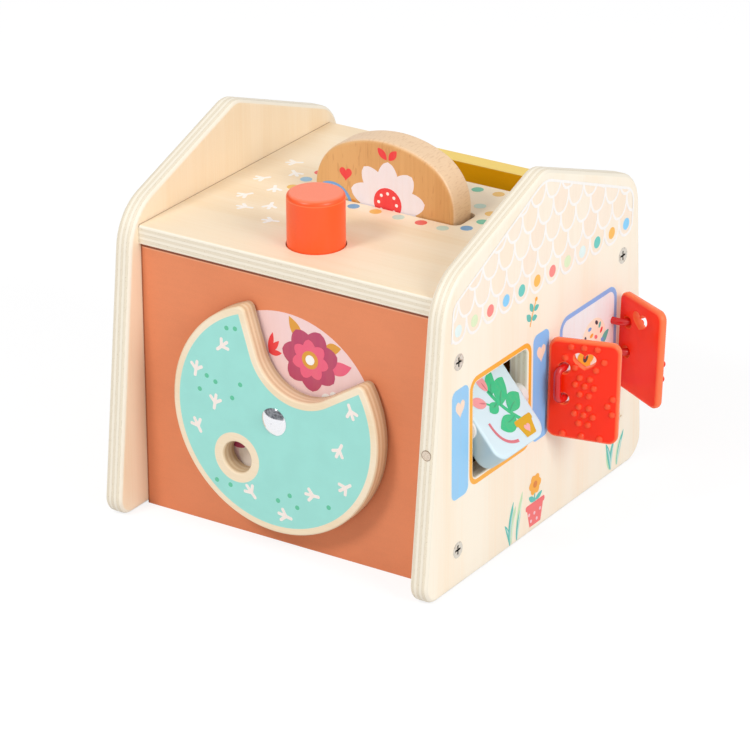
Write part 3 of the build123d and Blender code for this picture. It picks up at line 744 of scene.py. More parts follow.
def tracks(places, size, colour):
    """Birds' footprints, each at its place and heading: three toes that fan out forwards and a
    short one behind. The toes' lengths and width are shares of the footprint's size."""
    strips = []
    for across, up, heading in places:
        for turn, length in TOES:
            tip = np.array((across, up)) + size * length * unit(math.radians(heading + turn))
            strips.append(band(curve((across, up), (across, up), tip, 6), size * TOE_WIDTH, colour))
            strips.append(dot(tip, size * TOE_WIDTH / 2, colour))
        strips.append(dot((across, up), size * 0.16, colour))
    return strips


def faces_of_grid(rows, columns, closed, first):
    """Corners of the quads of one grid of points, row by row."""
    strips = columns if closed else columns - 1
    row, column = np.meshgrid(np.arange(rows - 1), np.arange(strips), indexing="ij")
    after = (column + 1) % columns
    here, above = row * columns, (row + 1) * columns
    corners = (here + column, here + after, above + after, above + column)
    return first + np.stack(corners, axis=-1).reshape(-1, 4)


def new_object(name, points, faces, values=None, merge=0.0001 * MM):
    """A mesh object from points and faces. values gives each point's colours by name. Points
    nearer than merge become one, and points without a face are taken away."""
    mesh = bpy.data.meshes.new(name)
    mesh.from_pydata(points.tolist(), [], faces if isinstance(faces, list) else faces.tolist())
    for label, data in (values or {}).items():
        layer = mesh.color_attributes.new(name=label, type="FLOAT_COLOR", domain="POINT")
        layer.data.foreach_set("color", np.ascontiguousarray(data, np.float32).ravel())
    soft = bmesh.new()
    soft.from_mesh(mesh)
    bmesh.ops.remove_doubles(soft, verts=soft.verts, dist=merge)
    unused = [point for point in soft.verts if not point.link_faces]
    bmesh.ops.delete(soft, geom=unused, context="VERTS")
    soft.to_mesh(mesh)
    soft.free()
    mesh.validate()
    piece = bpy.data.objects.new(name, mesh)
    bpy.context.scene.collection.objects.link(piece)
    return piece


# Patches of one layer take turns at this many heights
INK_STEPS = 11


def print_on(face, name, patches, inside=None):
    """Ink on a face. The patches' points, in mm on the face, go to their places in space, each
    layer a film higher than the last and each patch in it a step higher than those beside it.
    inside(points) says where ink may be."""
    look = bpy.context.scene.house_print
    points, faces, colours, first = [], [], [], 0
    for number, patch in enumerate(patches):
        rows, columns = patch.grid.shape[:2]
        flat = patch.grid.reshape(-1, 2)
        quads = faces_of_grid(rows, columns, patch.closed, first)
        corner = flat[quads - first]
        turned = np.cross(corner[:, 2] - corner[:, 0], corner[:, 3] - corner[:, 1])
        quads = np.where((turned < 0)[:, None], quads[:, ::-1], quads)
        if inside is not None:
            quads = quads[inside(corner.mean(axis=1))]
        lift = look.film * (1 + patch.layer) + look.step * (number % INK_STEPS)
        on_face = flat[:, :1] * face.across + flat[:, 1:] * face.up
        points.append(face.origin + MM * on_face + lift * face.normal)
        faces.append(quads)
        colours.append(np.tile((*patch.colour, 1.0), (len(flat), 1)))
        first += len(flat)
    ink = {"ink": np.concatenate(colours)}
    piece = new_object(name, np.concatenate(points), np.concatenate(faces), ink)
    shell = piece.modifiers.new("film", "SOLIDIFY")
    shell.thickness = look.film * 1.5
    shell.offset = -1
    piece.data.materials.append(bpy.data.materials[PRINT_INK])
    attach(piece, face.body)


def inks():
    """The colours of the prints, by name, as plain numbers."""
    look = bpy.context.scene.house_print
    names = "white amber coral red teal green mint sky blue pink magenta".split()
    return {name: tuple(getattr(look, name)) for name in names}


# The printed roof on the side panel, in mm: its white outline, its tiles and its dots
ROOF_OUTLINE = ((-76.6, 122.4), (-75.2, 139.5), (2.2, 174.1), (84.4, 142.2), (83.0, 124.0))
ROOF_RADII = (7.0, 16.0, 9.0)
FIRST_TILE = -71.2
EAVES = 121.4
TILE_COLUMNS = 12
TILE_ROWS = 6
DOT_RADIUS = 2.9
DOT_RISE = 5.4


def round_path(points, radii, steps=10):
    """A line through points with an arc at each inner one. An arc starts and ends where its
    circle touches the two runs, a radius over the tangent of half the corner's angle away."""
    points = np.array(points, float)
    pieces = [points[:1]]
    for corner, before, after, radius in zip(points[1:-1], points[:-2], points[2:], radii):
        back = (before - corner) / np.linalg.norm(before - corner)
        ahead = (after - corner) / np.linalg.norm(after - corner)
        half = math.acos(np.clip(back @ ahead, -1, 1)) / 2
        sweep = math.pi - 2 * half
        middle = corner + (back + ahead) / np.linalg.norm(back + ahead) * radius / math.sin(half)
        start = corner + back * radius / math.tan(half) - middle
        end = corner + ahead * radius / math.tan(half) - middle
        t = np.linspace(0, 1, steps)[:, None]
        arc = start * np.sin((1 - t) * sweep) + end * np.sin(t * sweep)
        pieces.append(middle + arc / math.sin(sweep))
    pieces.append(points[-1:])
    return np.concatenate(pieces)


TILE_POWER = 2.3


def tile_edge(across):
    """Depth of a tile's edge, as a share of its height, from -1 to 1 across (a superellipse)."""
    return (1 - np.abs(across) ** TILE_POWER) ** (1 / TILE_POWER)


def roof_print():
    """White outline, roof tiles and the row of dotted tiles at the eaves. A tile reaches from
    its own round edge up to the round edges of the two tiles above it."""
    look = bpy.context.scene.house_print
    ink = inks()
    line = look.line / MM
    outline = round_path(ROOF_OUTLINE, ROOF_RADII)
    fine = round_path(ROOF_OUTLINE, ROOF_RADII, 24)

    def under_outline(points):
        """Whether points lie below the outline: its height there, read along the line."""
        return points[:, 1] < np.interp(points[:, 0], fine[:, 0], fine[:, 1])

    width, row = look.tile_width / MM, look.tile_row / MM
    tints = (paint(255, 240, 221), paint(255, 238, 216), paint(255, 243, 224), paint(254, 236, 216))
    across = np.sin(np.linspace(-math.pi / 2, math.pi / 2, 61))
    bottom = -row * tile_edge(across)
    top = row * (1 - tile_edge(1 - np.abs(across)))
    level = np.linspace(0, 1, 12)[:, None]
    rise = bottom * (1 - level) + top * level
    tiles, lines = [], []
    grid = np.stack((np.broadcast_to(across * width / 2, rise.shape), rise), axis=2)
    lower = np.stack((across * width / 2, bottom), axis=1)
    for number in range(TILE_ROWS):
        shift = width / 2 * (number % 2)
        for column in range(-1, TILE_COLUMNS + 1):
            if number == 0 and not 0 <= column < TILE_COLUMNS:
                continue
            middle = np.array((FIRST_TILE + column * width + shift, EAVES + row * (number + 1)))
            tint = tints[(3 * number + 5 * column) % len(tints)]
            tiles.append(Patch(middle + grid, False, tint, 0))
            lines.append(band(middle + lower, line, ink["white"], 2))
    print_on(SIDE, "roof_tiles", tiles, under_outline)
    print_on(SIDE, "roof_tile_lines", lines, under_outline)
    print_on(SIDE, "panel_outline", [band(outline, line * 0.95, ink["white"], 3)])
    pale, mint, coral = paint(232, 250, 248), paint(228, 244, 202), paint(254, 140, 134)
    blue, teal, amber = paint(134, 212, 254), paint(98, 206, 196), paint(255, 192, 84)
    order = (pale, mint, coral, blue, teal, amber, coral, mint, pale, teal, amber, blue)
    row_of_dots = [
        dot((FIRST_TILE + number * width, EAVES + DOT_RISE), DOT_RADIUS, colour, 1)
        for number, colour in enumerate(order)
    ]
    print_on(SIDE, "eaves_dots", row_of_dots)


# The window, its printed border and the ball in the picture beside it, in mm
WINDOW_LOW = (-57.9, 48.9)
WINDOW_HIGH = (-10.9, 96.0)
WINDOW_EDGE = 0.8
BORDER = 2.4
AMBER_TUFT = np.array((41.6, 71.6))
BALL = np.array((48.6, 77.4))
BALL_RADIUS = 11.4


def blades(strokes):
    """Grass: leaves from foot to tip, each with a paler stripe beside its middle."""
    grass = []
    for foot, tip, width, colour, layer, sag in strokes:
        foot, tip = np.array(foot), np.array(tip)
        aside = (width * 0.28, 0)
        end = foot * 0.15 + tip * 0.85 + aside
        paler = tuple(0.5 * value + 0.5 for value in colour)
        grass.append(leaf(foot, tip, width * 1.35, colour, layer, sag, 0.7))
        grass.append(leaf(foot + aside, end, width * 0.5, paler, layer + 1, sag, 0.7))
    return grass


def window_print():
    """Border of the window, the strips at its sides, and the picture behind the shutters: a
    speckled ball with an amber blossom."""
    ink = inks()
    low = np.array(WINDOW_LOW) - WINDOW_EDGE
    high = np.array(WINDOW_HIGH) + WINDOW_EDGE
    inner = rounded_box(low - 0.05, high + 0.05, 4.0)
    outer = rounded_box(low - BORDER, high + BORDER, 6.2)
    print_on(SIDE, "window_border", [ring(inner, outer, ink["amber"])])
    strips = [
        fill(rounded_box((-76.2, 44.6), (-62.1, 98.4), 3.6), ink["sky"]),
        fill(rounded_box((-6.2, 46.0), (7.9, 99.8), 3.6), paint(134, 196, 252)),
    ]
    wood = paint(254, 226, 204)
    strips += [fill(heart(place, 7.6, 8.4), wood, 1) for place in ((-69.3, 88.6), (0.9, 89.5))]
    print_on(SIDE, "window_strips", strips)
    low, high = np.array((17.6, 46.2)), np.array((70.2, 99.4))
    ground = rounded_box(low + BORDER, high - BORDER, 4.6)
    night = paint(48, 58, 74)
    picture = [
        fill(ground, paint(246, 254, 255)),
        ring(ground, rounded_box(low, high, 7.0), paint(138, 186, 246), 1),
        dot(BALL, BALL_RADIUS, paint(255, 245, 222), 1),
    ]
    specks = (
        ((-3.4, 7.2), ink["blue"]), ((2.8, 8.6), night), ((-7.4, 3.4), night),
        ((7.4, 3.2), ink["red"]), ((-1.6, 3.4), ink["amber"]), ((2.4, 1.4), ink["coral"]),
        ((-6.2, -1.6), ink["coral"]), ((5.8, 6.4), ink["teal"]), ((-4.6, -5.2), night),
        ((8.6, -2.0), ink["blue"]),
    )
    for number, (place, colour) in enumerate(specks):
        half = unit(2.4 * number) * 1.6
        spot = BALL + place
        picture.append(leaf(spot - half, spot + half, 1.9, colour, 2, fullness=0.5))
    for angle in (115, 160, 205, 250, 295, 340):
        start = unit(math.radians(angle))
        tip = AMBER_TUFT + start * 8.0
        picture.append(leaf(AMBER_TUFT + start, tip, 5.4, ink["amber"], 3, fullness=0.6))
    picture += [
        dot(AMBER_TUFT, 2.3, night, 4),
        dot(AMBER_TUFT + (2.6, 1.6), 1.2, ink["white"], 5),
        leaf(BALL + (7.5, -6), BALL + (14.5, 1.0), 4.2, ink["teal"], 1, 0.2),
    ]
    print_on(SIDE, "second_window", picture)


def grass_print():
    """Two tufts of grass at the panel's foot, and a sprig between the windows and the roof."""
    ink = inks()
    teal, mint = ink["teal"], ink["mint"]
    grass = blades((
        ((-25.2, 1.6), (-29.8, 13.6), 1.7, teal, 0, -0.14),
        ((-25.6, 1.8), (-22.2, 23.0), 2.0, teal, 1, 0.10),
        ((-24.2, 2.0), (-20.0, 20.0), 2.4, mint, 0, 0.12),
        ((-19.4, 1.8), (-15.4, 17.6), 1.8, teal, 1, 0.08),
        ((-19.2, 2.0), (-14.2, 25.0), 2.4, mint, 0, 0.06),
        ((67.2, 3.0), (62.8, 18.4), 2.2, teal, 1, -0.10),
        ((67.4, 3.2), (70.2, 18.2), 2.0, teal, 1, 0.10),
        ((66.2, 3.6), (63.8, 16.0), 2.8, mint, 0, -0.06),
        ((73.4, 3.4), (79.6, 20.0), 1.8, teal, 1, 0.08),
        ((73.0, 3.6), (77.4, 18.0), 2.4, mint, 0, 0.05),
    ))
    print_on(SIDE, "grass", grass)
    sprig = [
        band(curve((-9.4, 106.0), (-7.6, 111.6), (-4.4, 117.4)), 0.7, ink["amber"], 1),
        leaf((-8.4, 108.6), (-12.4, 112.8), 3.2, teal),
        leaf((-8.0, 109.4), (-3.2, 109.2), 3.0, teal),
        leaf((-6.8, 112.6), (-9.6, 117.6), 3.0, teal),
        leaf((-6.4, 113.2), (-1.6, 114.2), 2.8, teal),
        dot((-4.2, 118.0), 1.1, ink["amber"], 1),
    ]
    print_on(SIDE, "small_sprig", sprig)


def pot(foot, mouth, rim, bend, colour, layer):
    """A pot: a strip from the ends of its foot to the ends of its mouth, and a rim on top. rim
    gives two of its corners, and bend the radius of them all."""
    side = Patch(np.array((foot, mouth)), False, colour, layer)
    return [side, fill(rounded_box(*rim, bend), colour, layer + 1)]


def flower_print():
    """An amber flower in a spotted pot at the panel's foot."""
    ink = inks()
    teal, middle = ink["teal"], (-3.0, 24.2)
    foot, mouth = ((-7.6, 3.6), (2.2, 3.6)), ((-10.2, 14.0), (4.8, 14.0))
    planted = pot(foot, mouth, ((-11.2, 12.6), (5.8, 15.4)), 1.2, paint(247, 110, 112), 0)
    spots = ((-6.4, 6.4), (-1.2, 6.0), (-8.2, 10.2), (-3.4, 9.6), (1.6, 10.0))
    planted += dots(spots, 0.85, paint(255, 206, 214), 2)
    planted += [
        band(curve((-2.8, 15.4), (-3.6, 18.0), (-3.0, 21.0)), 0.9, teal, 1),
        leaf((-2.8, 16.0), (-8.4, 19.4), 2.8, teal, 1, 0.1),
        leaf((-2.8, 16.2), (3.4, 18.6), 2.6, teal, 1, -0.1),
        *blossom(middle, 5.4, 6, 4.4, ink["amber"], 2),
        dot(middle, 1.7, paint(224, 128, 40), 4),
    ]
    print_on(SIDE, "planted_pot", planted)


def deck_print():
    """Coloured dots round the slot and white bird tracks at its left."""
    sky, blue, pale = paint(154, 196, 222), paint(112, 164, 206), paint(196, 220, 204)
    amber, coral, teal = paint(236, 186, 92), paint(236, 98, 90), paint(106, 190, 156)
    coloured = (
        ((-9.2, -4.6), blue), ((3.0, -4.7), amber), ((15.6, -4.8), pale), ((28.0, -4.9), coral),
        ((39.9, -5.2), pale), ((49.2, 0.6), blue), ((51.4, 11.0), teal), ((49.4, 21.6), amber),
        ((40.2, 27.0), pale), ((-46.8, 12.0), sky), ((-46.6, 0.6), amber), ((-46.0, 22.8), coral),
        ((-33.8, -3.2), teal), ((-21.4, -4.4), coral), ((39.7, 44.3), amber), ((28.3, 44.1), teal),
        ((28.0, 27.4), blue), ((15.6, 27.6), amber), ((3.0, 27.6), pale), ((-9.2, 27.4), coral),
        ((-21.4, 27.2), teal), ((-33.8, 26.8), sky), ((15.8, 44.0), coral), ((3.2, 44.2), blue),
    )
    print_on(DECK, "deck_dots", [dot(place, DOT_RADIUS, colour) for place, colour in coloured])
    places = (
        (-63.3, 27.5, -150), (-56.0, 16.0, -40), (-64.9, 2.7, -130), (-52.9, -5.3, -60),
        (-59.8, -19.1, -120), (-50.9, -32.0, -170), (-42.4, -24.1, -70), (-31.3, -39.6, -165),
    )
    print_on(DECK, "deck_tracks", tracks(places, 6.4, inks()["white"]))


def disc_print():
    """Cream bird tracks and green dots on the turning disc."""
    places = (
        (-28.3, 97.0, 40), (-42.9, 82.1, 80), (-32.6, 67.7, 80), (-42.4, 53.6, 120),
        (-13.0, 26.9, 132), (6.0, 19.7, 170), (21.1, 34.2, 180), (39.0, 42.9, 215),
        (35.7, 60.8, 245), (41.9, 81.8, 290),
    )
    print_on(DISC, "disc_tracks", tracks(places, 6.0, paint(252, 238, 230)))
    spots = (
        (-25.3, 106.7), (-20.6, 107.4), (-36.9, 80.3), (-32.1, 78.3), (-18.3, 80.1), (-41.0, 72.7),
        (-22.9, 72.4), (-32.4, 28.6), (-24.8, 27.9), (8.2, 30.8), (1.7, 26.7), (12.3, 25.8),
        (29.6, 30.4),
    )
    print_on(DISC, "disc_dots", dots(spots, 1.15, paint(92, 198, 158)))


# The picture behind the turning disc, in mm
DISC_CENTRE_UP = 56.0
PICTURE_HOLE = 8.4
PICTURE_RADIUS = 50.3
BLOSSOM_REACH = 33.0


def wall_picture():
    """The round picture behind the turning disc: blossoms, leaves and berries in its colours."""
    ink = inks()
    centre = np.array((0.0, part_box("spinner_disc")[0].z / MM + DISC_CENTRE_UP))
    rose, deep, amber, white = paint(240, 96, 128), ink["magenta"], paint(226, 158, 52), ink["white"]

    def at(distance, degrees):
        """A place that far from the picture's centre, at an angle."""
        return centre + distance * unit(math.radians(degrees))

    inner, outer = circle(centre, PICTURE_HOLE, 96), circle(centre, PICTURE_RADIUS, 96)
    patches = [ring(inner, outer, ink["pink"])]
    big = at(BLOSSOM_REACH, 66)
    hole = at(FINGER_PLACE[0] / MM, math.degrees(FINGER_PLACE[1]))
    for base, tip in (((-4, 7), (-11.4, 19.2)), ((7, 7), (16.8, 9.4))):
        patches.append(leaf(big + base, big + tip, 5.4, amber, 1, 0, 1.0))
    for tip in ((-20.4, 9.0), (-17.0, 5.4), (-15.6, -0.4)):
        patches.append(leaf(big + (-22.6, -1.6), big + tip, 2.8, ink["red"], 1, 0, 0.9))
    patches += [
        dot(big + (8.6, -17.2), 2.6, white, 1),
        dot(big + (12.4, -14.6), 1.8, white, 1),
        dot(hole + (2.4, -2.0), 8.6, paint(250, 240, 230), 2),
        leaf(hole + (-9.0, 0.0), hole + (-0.4, 6.6), 7.0, deep, 3),
        leaf(big + (8.0, -2.0), big + (22.4, 1.6), 6.8, rose, 1, -0.1, 1.0),
        *blossom(big, 15.4, 7, 11.8, deep, 2, 0.1, 0.3),
        *blossom(big, 10.0, 7, 6.8, rose, 4, 0.1, 0.75),
        dot(big, 4.4, amber, 6),
        dot(big, 2.4, white, 7),
    ]
    for angle in (150, 268, 340):
        small = at(BLOSSOM_REACH, angle)
        patches += blossom(small, 8.6, 5, 7.4, rose, 2, 0.1, angle)
        patches.append(dot(small, 2.6, amber, 4))
        patches += dots((at(44.0, angle - 14), at(44.0, angle + 14)), 1.3, deep, 1)
    print_on(WALL, "wall_picture", patches)


# The arched disc's outline, in mm, drawn in by a narrow margin
ARCH_MIDDLE = 4.0
ARCH_REACH = 37.0
ARCH_SPRING = 146.6
ARCH_RISE = 26.8


def on_arch(points):
    """Whether points lie inside the disc's arch (a superellipse), a little from its edge."""
    across = np.abs((points[:, 0] - ARCH_MIDDLE) / ARCH_REACH)
    return points[:, 1] < ARCH_SPRING + ARCH_RISE * np.sqrt(np.clip(1 - across ** 2.2, 0, None))


def arch_print():
    """A large daisy with a red middle on the arched disc, a heart and a blue arc."""
    ink = inks()
    red = ink["red"]
    middle = np.array((6.2, 145.0))
    angle = np.linspace(math.radians(118), math.radians(8), 20)
    arc = np.array((-24.5, 138.2)) + 10.6 * np.stack((np.cos(angle), np.sin(angle)), axis=1)
    picture = [
        *blossom(middle, 20.5, 9, 11.4, paint(244, 238, 242), 0, 0.1, math.pi / 2),
        dot(middle, 7.6, red, 2),
        *dots([middle + 4.9 * unit(turn) for turn in np.arange(8) * TURN / 8], 0.8, ink["white"], 3),
        leaf(middle + (-0.6, 21.4), middle + (-5.4, 26.6), 3.6, red),
        leaf(middle + (0.6, 21.4), middle + (4.8, 26.8), 3.6, red),
        fill(heart((-17.0, 155.2), 6.8, 6.6), red),
        band(arc, 1.6, ink["blue"], 1),
        dot((-13.2, 141.4), 1.9, paint(232, 150, 60)),
    ]
    print_on(ARCH, "arch_daisy", picture, on_arch)


def plaque_print():
    """A potted plant with pink buds on the plaque's outer face."""
    green, vein, amber = inks()["green"], paint(56, 172, 124), paint(228, 176, 24)
    pink, deep_pink = paint(252, 162, 166), paint(224, 120, 132)
    stem = curve((8.8, -10.0), (1.0, -1.0), (-1.0, 9.0), 20)
    picture = [band(stem, 2.0, green, 1)]
    leaves = (
        ((6.4, -7.0), (-7.4, -8.6), 8.4), ((4.6, -4.6), (17.4, 0.6), 8.4),
        ((1.4, 0.2), (13.6, 10.6), 8.6), ((0.4, 2.4), (-7.6, 0.4), 5.6),
        ((-0.6, 6.0), (8.6, 15.4), 6.0),
    )
    picture += [leaf(base, tip, width, green, 2, 0.12) for base, tip, width in leaves]
    for base, tip, width in leaves:
        end = np.array(base) * 0.45 + np.array(tip) * 0.55
        picture.append(leaf(base, end, 0.7, vein, 3, 0.12))
    for bud, lean in (((-6.6, 4.4), (-8.6, 4.2)), ((-1.0, 9.0), (-1.4, 9.6))):
        bud, lean = np.array(bud), np.array(lean)
        picture += [
            leaf(bud, bud + lean, 5.6, pink, 3, fullness=0.55),
            leaf(bud, bud + lean * 0.5, 0.8, deep_pink, 4),
            band(curve(bud, bud + (2, -2), (0.8, 1.0)), 1.0, green, 2),
        ]
    foot, mouth = ((5.4, -18.6), (13.0, -18.6)), ((3.4, -11.4), (15.4, -11.4))
    picture += pot(foot, mouth, ((2.6, -12.4), (16.2, -9.4)), 1.0, amber, 2)
    picture += [
        fill(heart((9.2, -14.8), 4.4, 4.2), paint(250, 186, 190), 4),
        band(curve((-12.6, -3.6), (-13.0, -16.0), (-1.0, -17.4)), 1.5, deep_pink, 1),
    ]
    print_on(PLAQUE, "plaque_plant", picture)


# Raised dots on a shutter, in mm outwards from its hinge and down from its upper edge
SINGLE_BUMPS = (
    (8.8, 3.6), (15.0, 3.4), (21.2, 3.4), (6.2, 9.3), (24.6, 9.3), (11.0, 13.7), (20.9, 13.8),
    (29.3, 27.2), (26.9, 31.1), (29.2, 35.0), (6.1, 47.6), (15.0, 47.8), (23.8, 48.0),
)
CLUSTER_BUMPS = (
    (13.4, 0.0), (18.2, 0.2), (11.3, 3.6), (15.8, 4.0), (20.2, 4.5), (13.6, 8.3), (18.0, 8.6),
)
CLUSTER_DROPS = (18.5, 33.1)
# A raised dot, the holes and the rounded edges, in mm. Behind is the reach past the hinge
BUMP_RADIUS = 1.75
BUMP_RISE = 1.25
BUMP_SINK = 0.15
BUMP_ROWS = 7
BUMP_COLUMNS = 20
# Painted glow on the dots' tops, as light coming through the soft plastic
BUMP_GLOW = 0.42
LOOP_REACH = 5.8
LOOP_HOLE = 5.6
LOOP_HEIGHTS = (66.3, 81.7)
HEART_PLACE = (15.3, 10.3)
HEART_SIZE = (10.6, 7.8)
HOLE_EDGE = 0.6
HEART_EDGE = 0.5
EDGE_ROWS = 9
LEFT_BEHIND = 1.9
RIGHT_BEHIND = 1.3


def heart_hole(centre, width, height, count=12):
    """The heart that is cut through a shutter: two half circles, and below each a curve that
    ends in the tip (a cubic curve through its first and last points)."""
    lobe = width / 4
    shoulder = height / 2 - lobe
    bends = np.array(((0, -0.5), (0.28, -0.3), (0.5, -0.1), (0.5, shoulder / height)))
    bends = bends * (width, height)
    t = np.linspace(0, 1, count)[:, None]
    shares = np.hstack(((1 - t) ** 3, 3 * t * (1 - t) ** 2, 3 * t ** 2 * (1 - t), t ** 3))
    angle = np.linspace(0, math.pi, 2 * count)
    arc = np.stack((lobe + lobe * np.cos(angle), shoulder + lobe * np.sin(angle)), axis=1)
    right = np.concatenate(((shares @ bends)[:-1], arc))
    left = right[::-1] * (-1, 1)
    return np.array(centre) + np.concatenate((right[:-1], left[:-1]))


def even(points, step):
    """A closed line's points spread evenly, about a step apart."""
    loop = np.concatenate((points, points[:1]))
    length = np.concatenate(((0,), np.cumsum(np.linalg.norm(np.diff(loop, axis=0), axis=1))))
    count = max(12, int(length[-1] / step))
    where = np.arange(count) * length[-1] / count
    return np.stack([np.interp(where, length, loop[:, axis]) for axis in (0, 1)], axis=1)


def inwards(loop, distance):
    """A closed line's points moved to its left, square to it, by the distance."""
    along = np.roll(loop, -1, axis=0) - np.roll(loop, 1, axis=0)
    along /= np.linalg.norm(along, axis=1, keepdims=True)
    return loop + distance * np.stack((-along[:, 1], along[:, 0]), axis=1)


def shutter_lines(reach, behind, height, middle):
    """A shutter's closed lines in its own plane, in mm from the hinge and from its middle height,
    each with the radius of its rounded edge: the outline, and the other way round the holes for
    the two loops and the heart."""
    look = bpy.context.scene.house_shutter
    taper, hinge = look.taper / MM, -behind
    corners = [
        (hinge, taper - height / 2), (reach, -height / 2),
        (reach, height / 2), (hinge, height / 2 - taper),
    ]
    start = (np.array(corners[0]) + np.array(corners[1])) / 2
    outline = round_path([start, *corners[1:], corners[0], start], [look.corner / MM] * 4)
    lines = [(even(outline[:-1], 1.0), look.edge / MM)]
    for z in LOOP_HEIGHTS:
        hole = circle((LOOP_REACH, z - middle), LOOP_HOLE / 2)[::-1]
        lines.append((even(hole, 0.6), HOLE_EDGE))
    heart_line = heart_hole((HEART_PLACE[0], height / 2 - HEART_PLACE[1]), *HEART_SIZE)[::-1]
    lines.append((even(heart_line, 0.5), HEART_EDGE))
    return lines


def rounded_edge(line, radius, thick):
    """A half round carried along a closed line, from the lower face to the upper one. Returns its
    points, row by row, and their rim values, a painted glow of light through the thin edge, highest
    half way up."""
    turn = np.linspace(-math.pi / 2, math.pi / 2, EDGE_ROWS)
    flats = [inwards(line, radius * (1 - math.cos(angle))) for angle in turn]
    lift = np.sin(turn) * radius + np.sign(np.round(np.sin(turn), 6)) * (thick / 2 - radius)
    rows = [np.column_stack((flat, np.full(len(flat), up))) for flat, up in zip(flats, lift)]
    return np.concatenate(rows), np.repeat(np.cos(turn) ** 0.7, len(line))


def broad_face(points, rows, looks_up):
    """Triangles between closed lines. rows gives the numbers of each line's points, and looks_up
    is 1 for a face that looks along the normal and -1 for one that looks against it."""
    index = np.concatenate(rows)
    lines = [[Vector((*points[number, :2], 0)) for number in row] for row in rows]
    triangles = []
    for triangle in tessellate_polygon(lines):
        corner = points[index[list(triangle)], :2]
        area = np.cross(corner[1] - corner[0], corner[2] - corner[0])
        order = triangle if area * looks_up > 0 else triangle[::-1]
        triangles.append(index[list(order)].tolist())
    return triangles


def shutter_shape(outer_way, reach, behind):
    """A shutter in its own plane, in mm: outwards from the hinge, up, and towards its normal.
    Its edges are rounded, the two broad faces are filled between its lines, and each raised dot
    is a cap: a quarter wave of a sine outwards and of a cosine up, a little sunk. Returns
    points, faces and rim values."""
    look = bpy.context.scene.house_shutter
    thick, height = look.thick / MM, (look.high - look.low) / MM
    points, faces, rims, lower, upper, first = [], [], [], [], [], 0
    for line, radius in shutter_lines(reach, behind, height, (look.high + look.low) / 2 / MM):
        edge, rim = rounded_edge(line, radius, thick)
        points.append(edge)
        rims.append(rim)
        faces += faces_of_grid(EDGE_ROWS, len(line), True, first).tolist()
        row = first + np.arange(len(line))
        first += len(edge)
        lower.append(row)
        upper.append(row + len(edge) - len(line))
    every = np.concatenate(points)
    faces += broad_face(every, lower, -1) + broad_face(every, upper, 1)
    polar = np.linspace(0, 1, BUMP_ROWS)[:, None] * math.pi / 2
    angle = (np.arange(BUMP_COLUMNS) * TURN / BUMP_COLUMNS)[None, :]
    spread = BUMP_RADIUS * np.sin(polar)
    up = (BUMP_RISE + BUMP_SINK) * np.cos(polar) - BUMP_SINK
    up = np.broadcast_to(up, (BUMP_ROWS, BUMP_COLUMNS))
    dome = np.stack((spread * np.cos(angle), spread * np.sin(angle), up), axis=-1)
    quads = faces_of_grid(BUMP_ROWS, BUMP_COLUMNS, True, 0)
    if outer_way > 0:
        quads = quads[:, ::-1]
    # Rim values of the dots: painted glow, highest on their tops
    rim = np.repeat(BUMP_GLOW * np.cos(polar[:, 0]), BUMP_COLUMNS)
    clusters = [(across, drop + down) for drop in CLUSTER_DROPS for across, down in CLUSTER_BUMPS]
    for across, down in (*SINGLE_BUMPS, *clusters):
        cap = (dome + (across, height / 2 - down, thick / 2)) * (1, 1, outer_way)
        points.append(cap.reshape(-1, 3))
        faces += (first + quads).tolist()
        rims.append(rim)
        first += len(rim)
    return np.concatenate(points), faces, np.concatenate(rims)


def hang_shutter(name, node, closed_way, opened, droop, reach, behind):
    """A shutter at its place: its plane stands on its hinge, turned open, and leans about the
    middle of its loops."""
    look = bpy.context.scene.house_shutter
    hinge = joint(node + "_swing")["pos_m"]
    points, faces, rim = shutter_shape(closed_way, reach / MM, behind)
    out = np.array((math.sin(opened), closed_way * math.cos(opened), 0))
    normal = np.cross(out, (0, 0, 1))
    lean = np.array(((math.cos(droop), math.sin(droop)), (-math.sin(droop), math.cos(droop))))
    hold = np.array((LOOP_REACH, sum(LOOP_HEIGHTS) / 2 - (look.low + look.high) / 2 / MM))
    flat = hold + (points[:, :2] - hold) @ lean.T
    origin = np.array((hinge[0], hinge[1], (look.low + look.high) / 2))
    place = origin + MM * (flat[:, :1] * out + flat[:, 1:] * (0, 0, 1) + points[:, 2:] * normal)
    # The rim values, a painted glow, as a colour attribute
    grey = np.column_stack((rim, rim, rim, np.ones(len(rim))))
    piece = new_object(name, place, faces, {"rim": grey}, 0.001 * MM)
    for polygon in piece.data.polygons:
        polygon.use_smooth = True
    sharp = piece.modifiers.new("corners", "EDGE_SPLIT")
    sharp.split_angle = math.radians(50)
    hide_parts(node)
    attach(piece, node + "_body")
    return piece


def put_finish(material, *nodes):
    """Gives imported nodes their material."""
    for node in nodes:
        slots = frame["nodes"][node].data.materials
        slots.clear()
        slots.append(material)


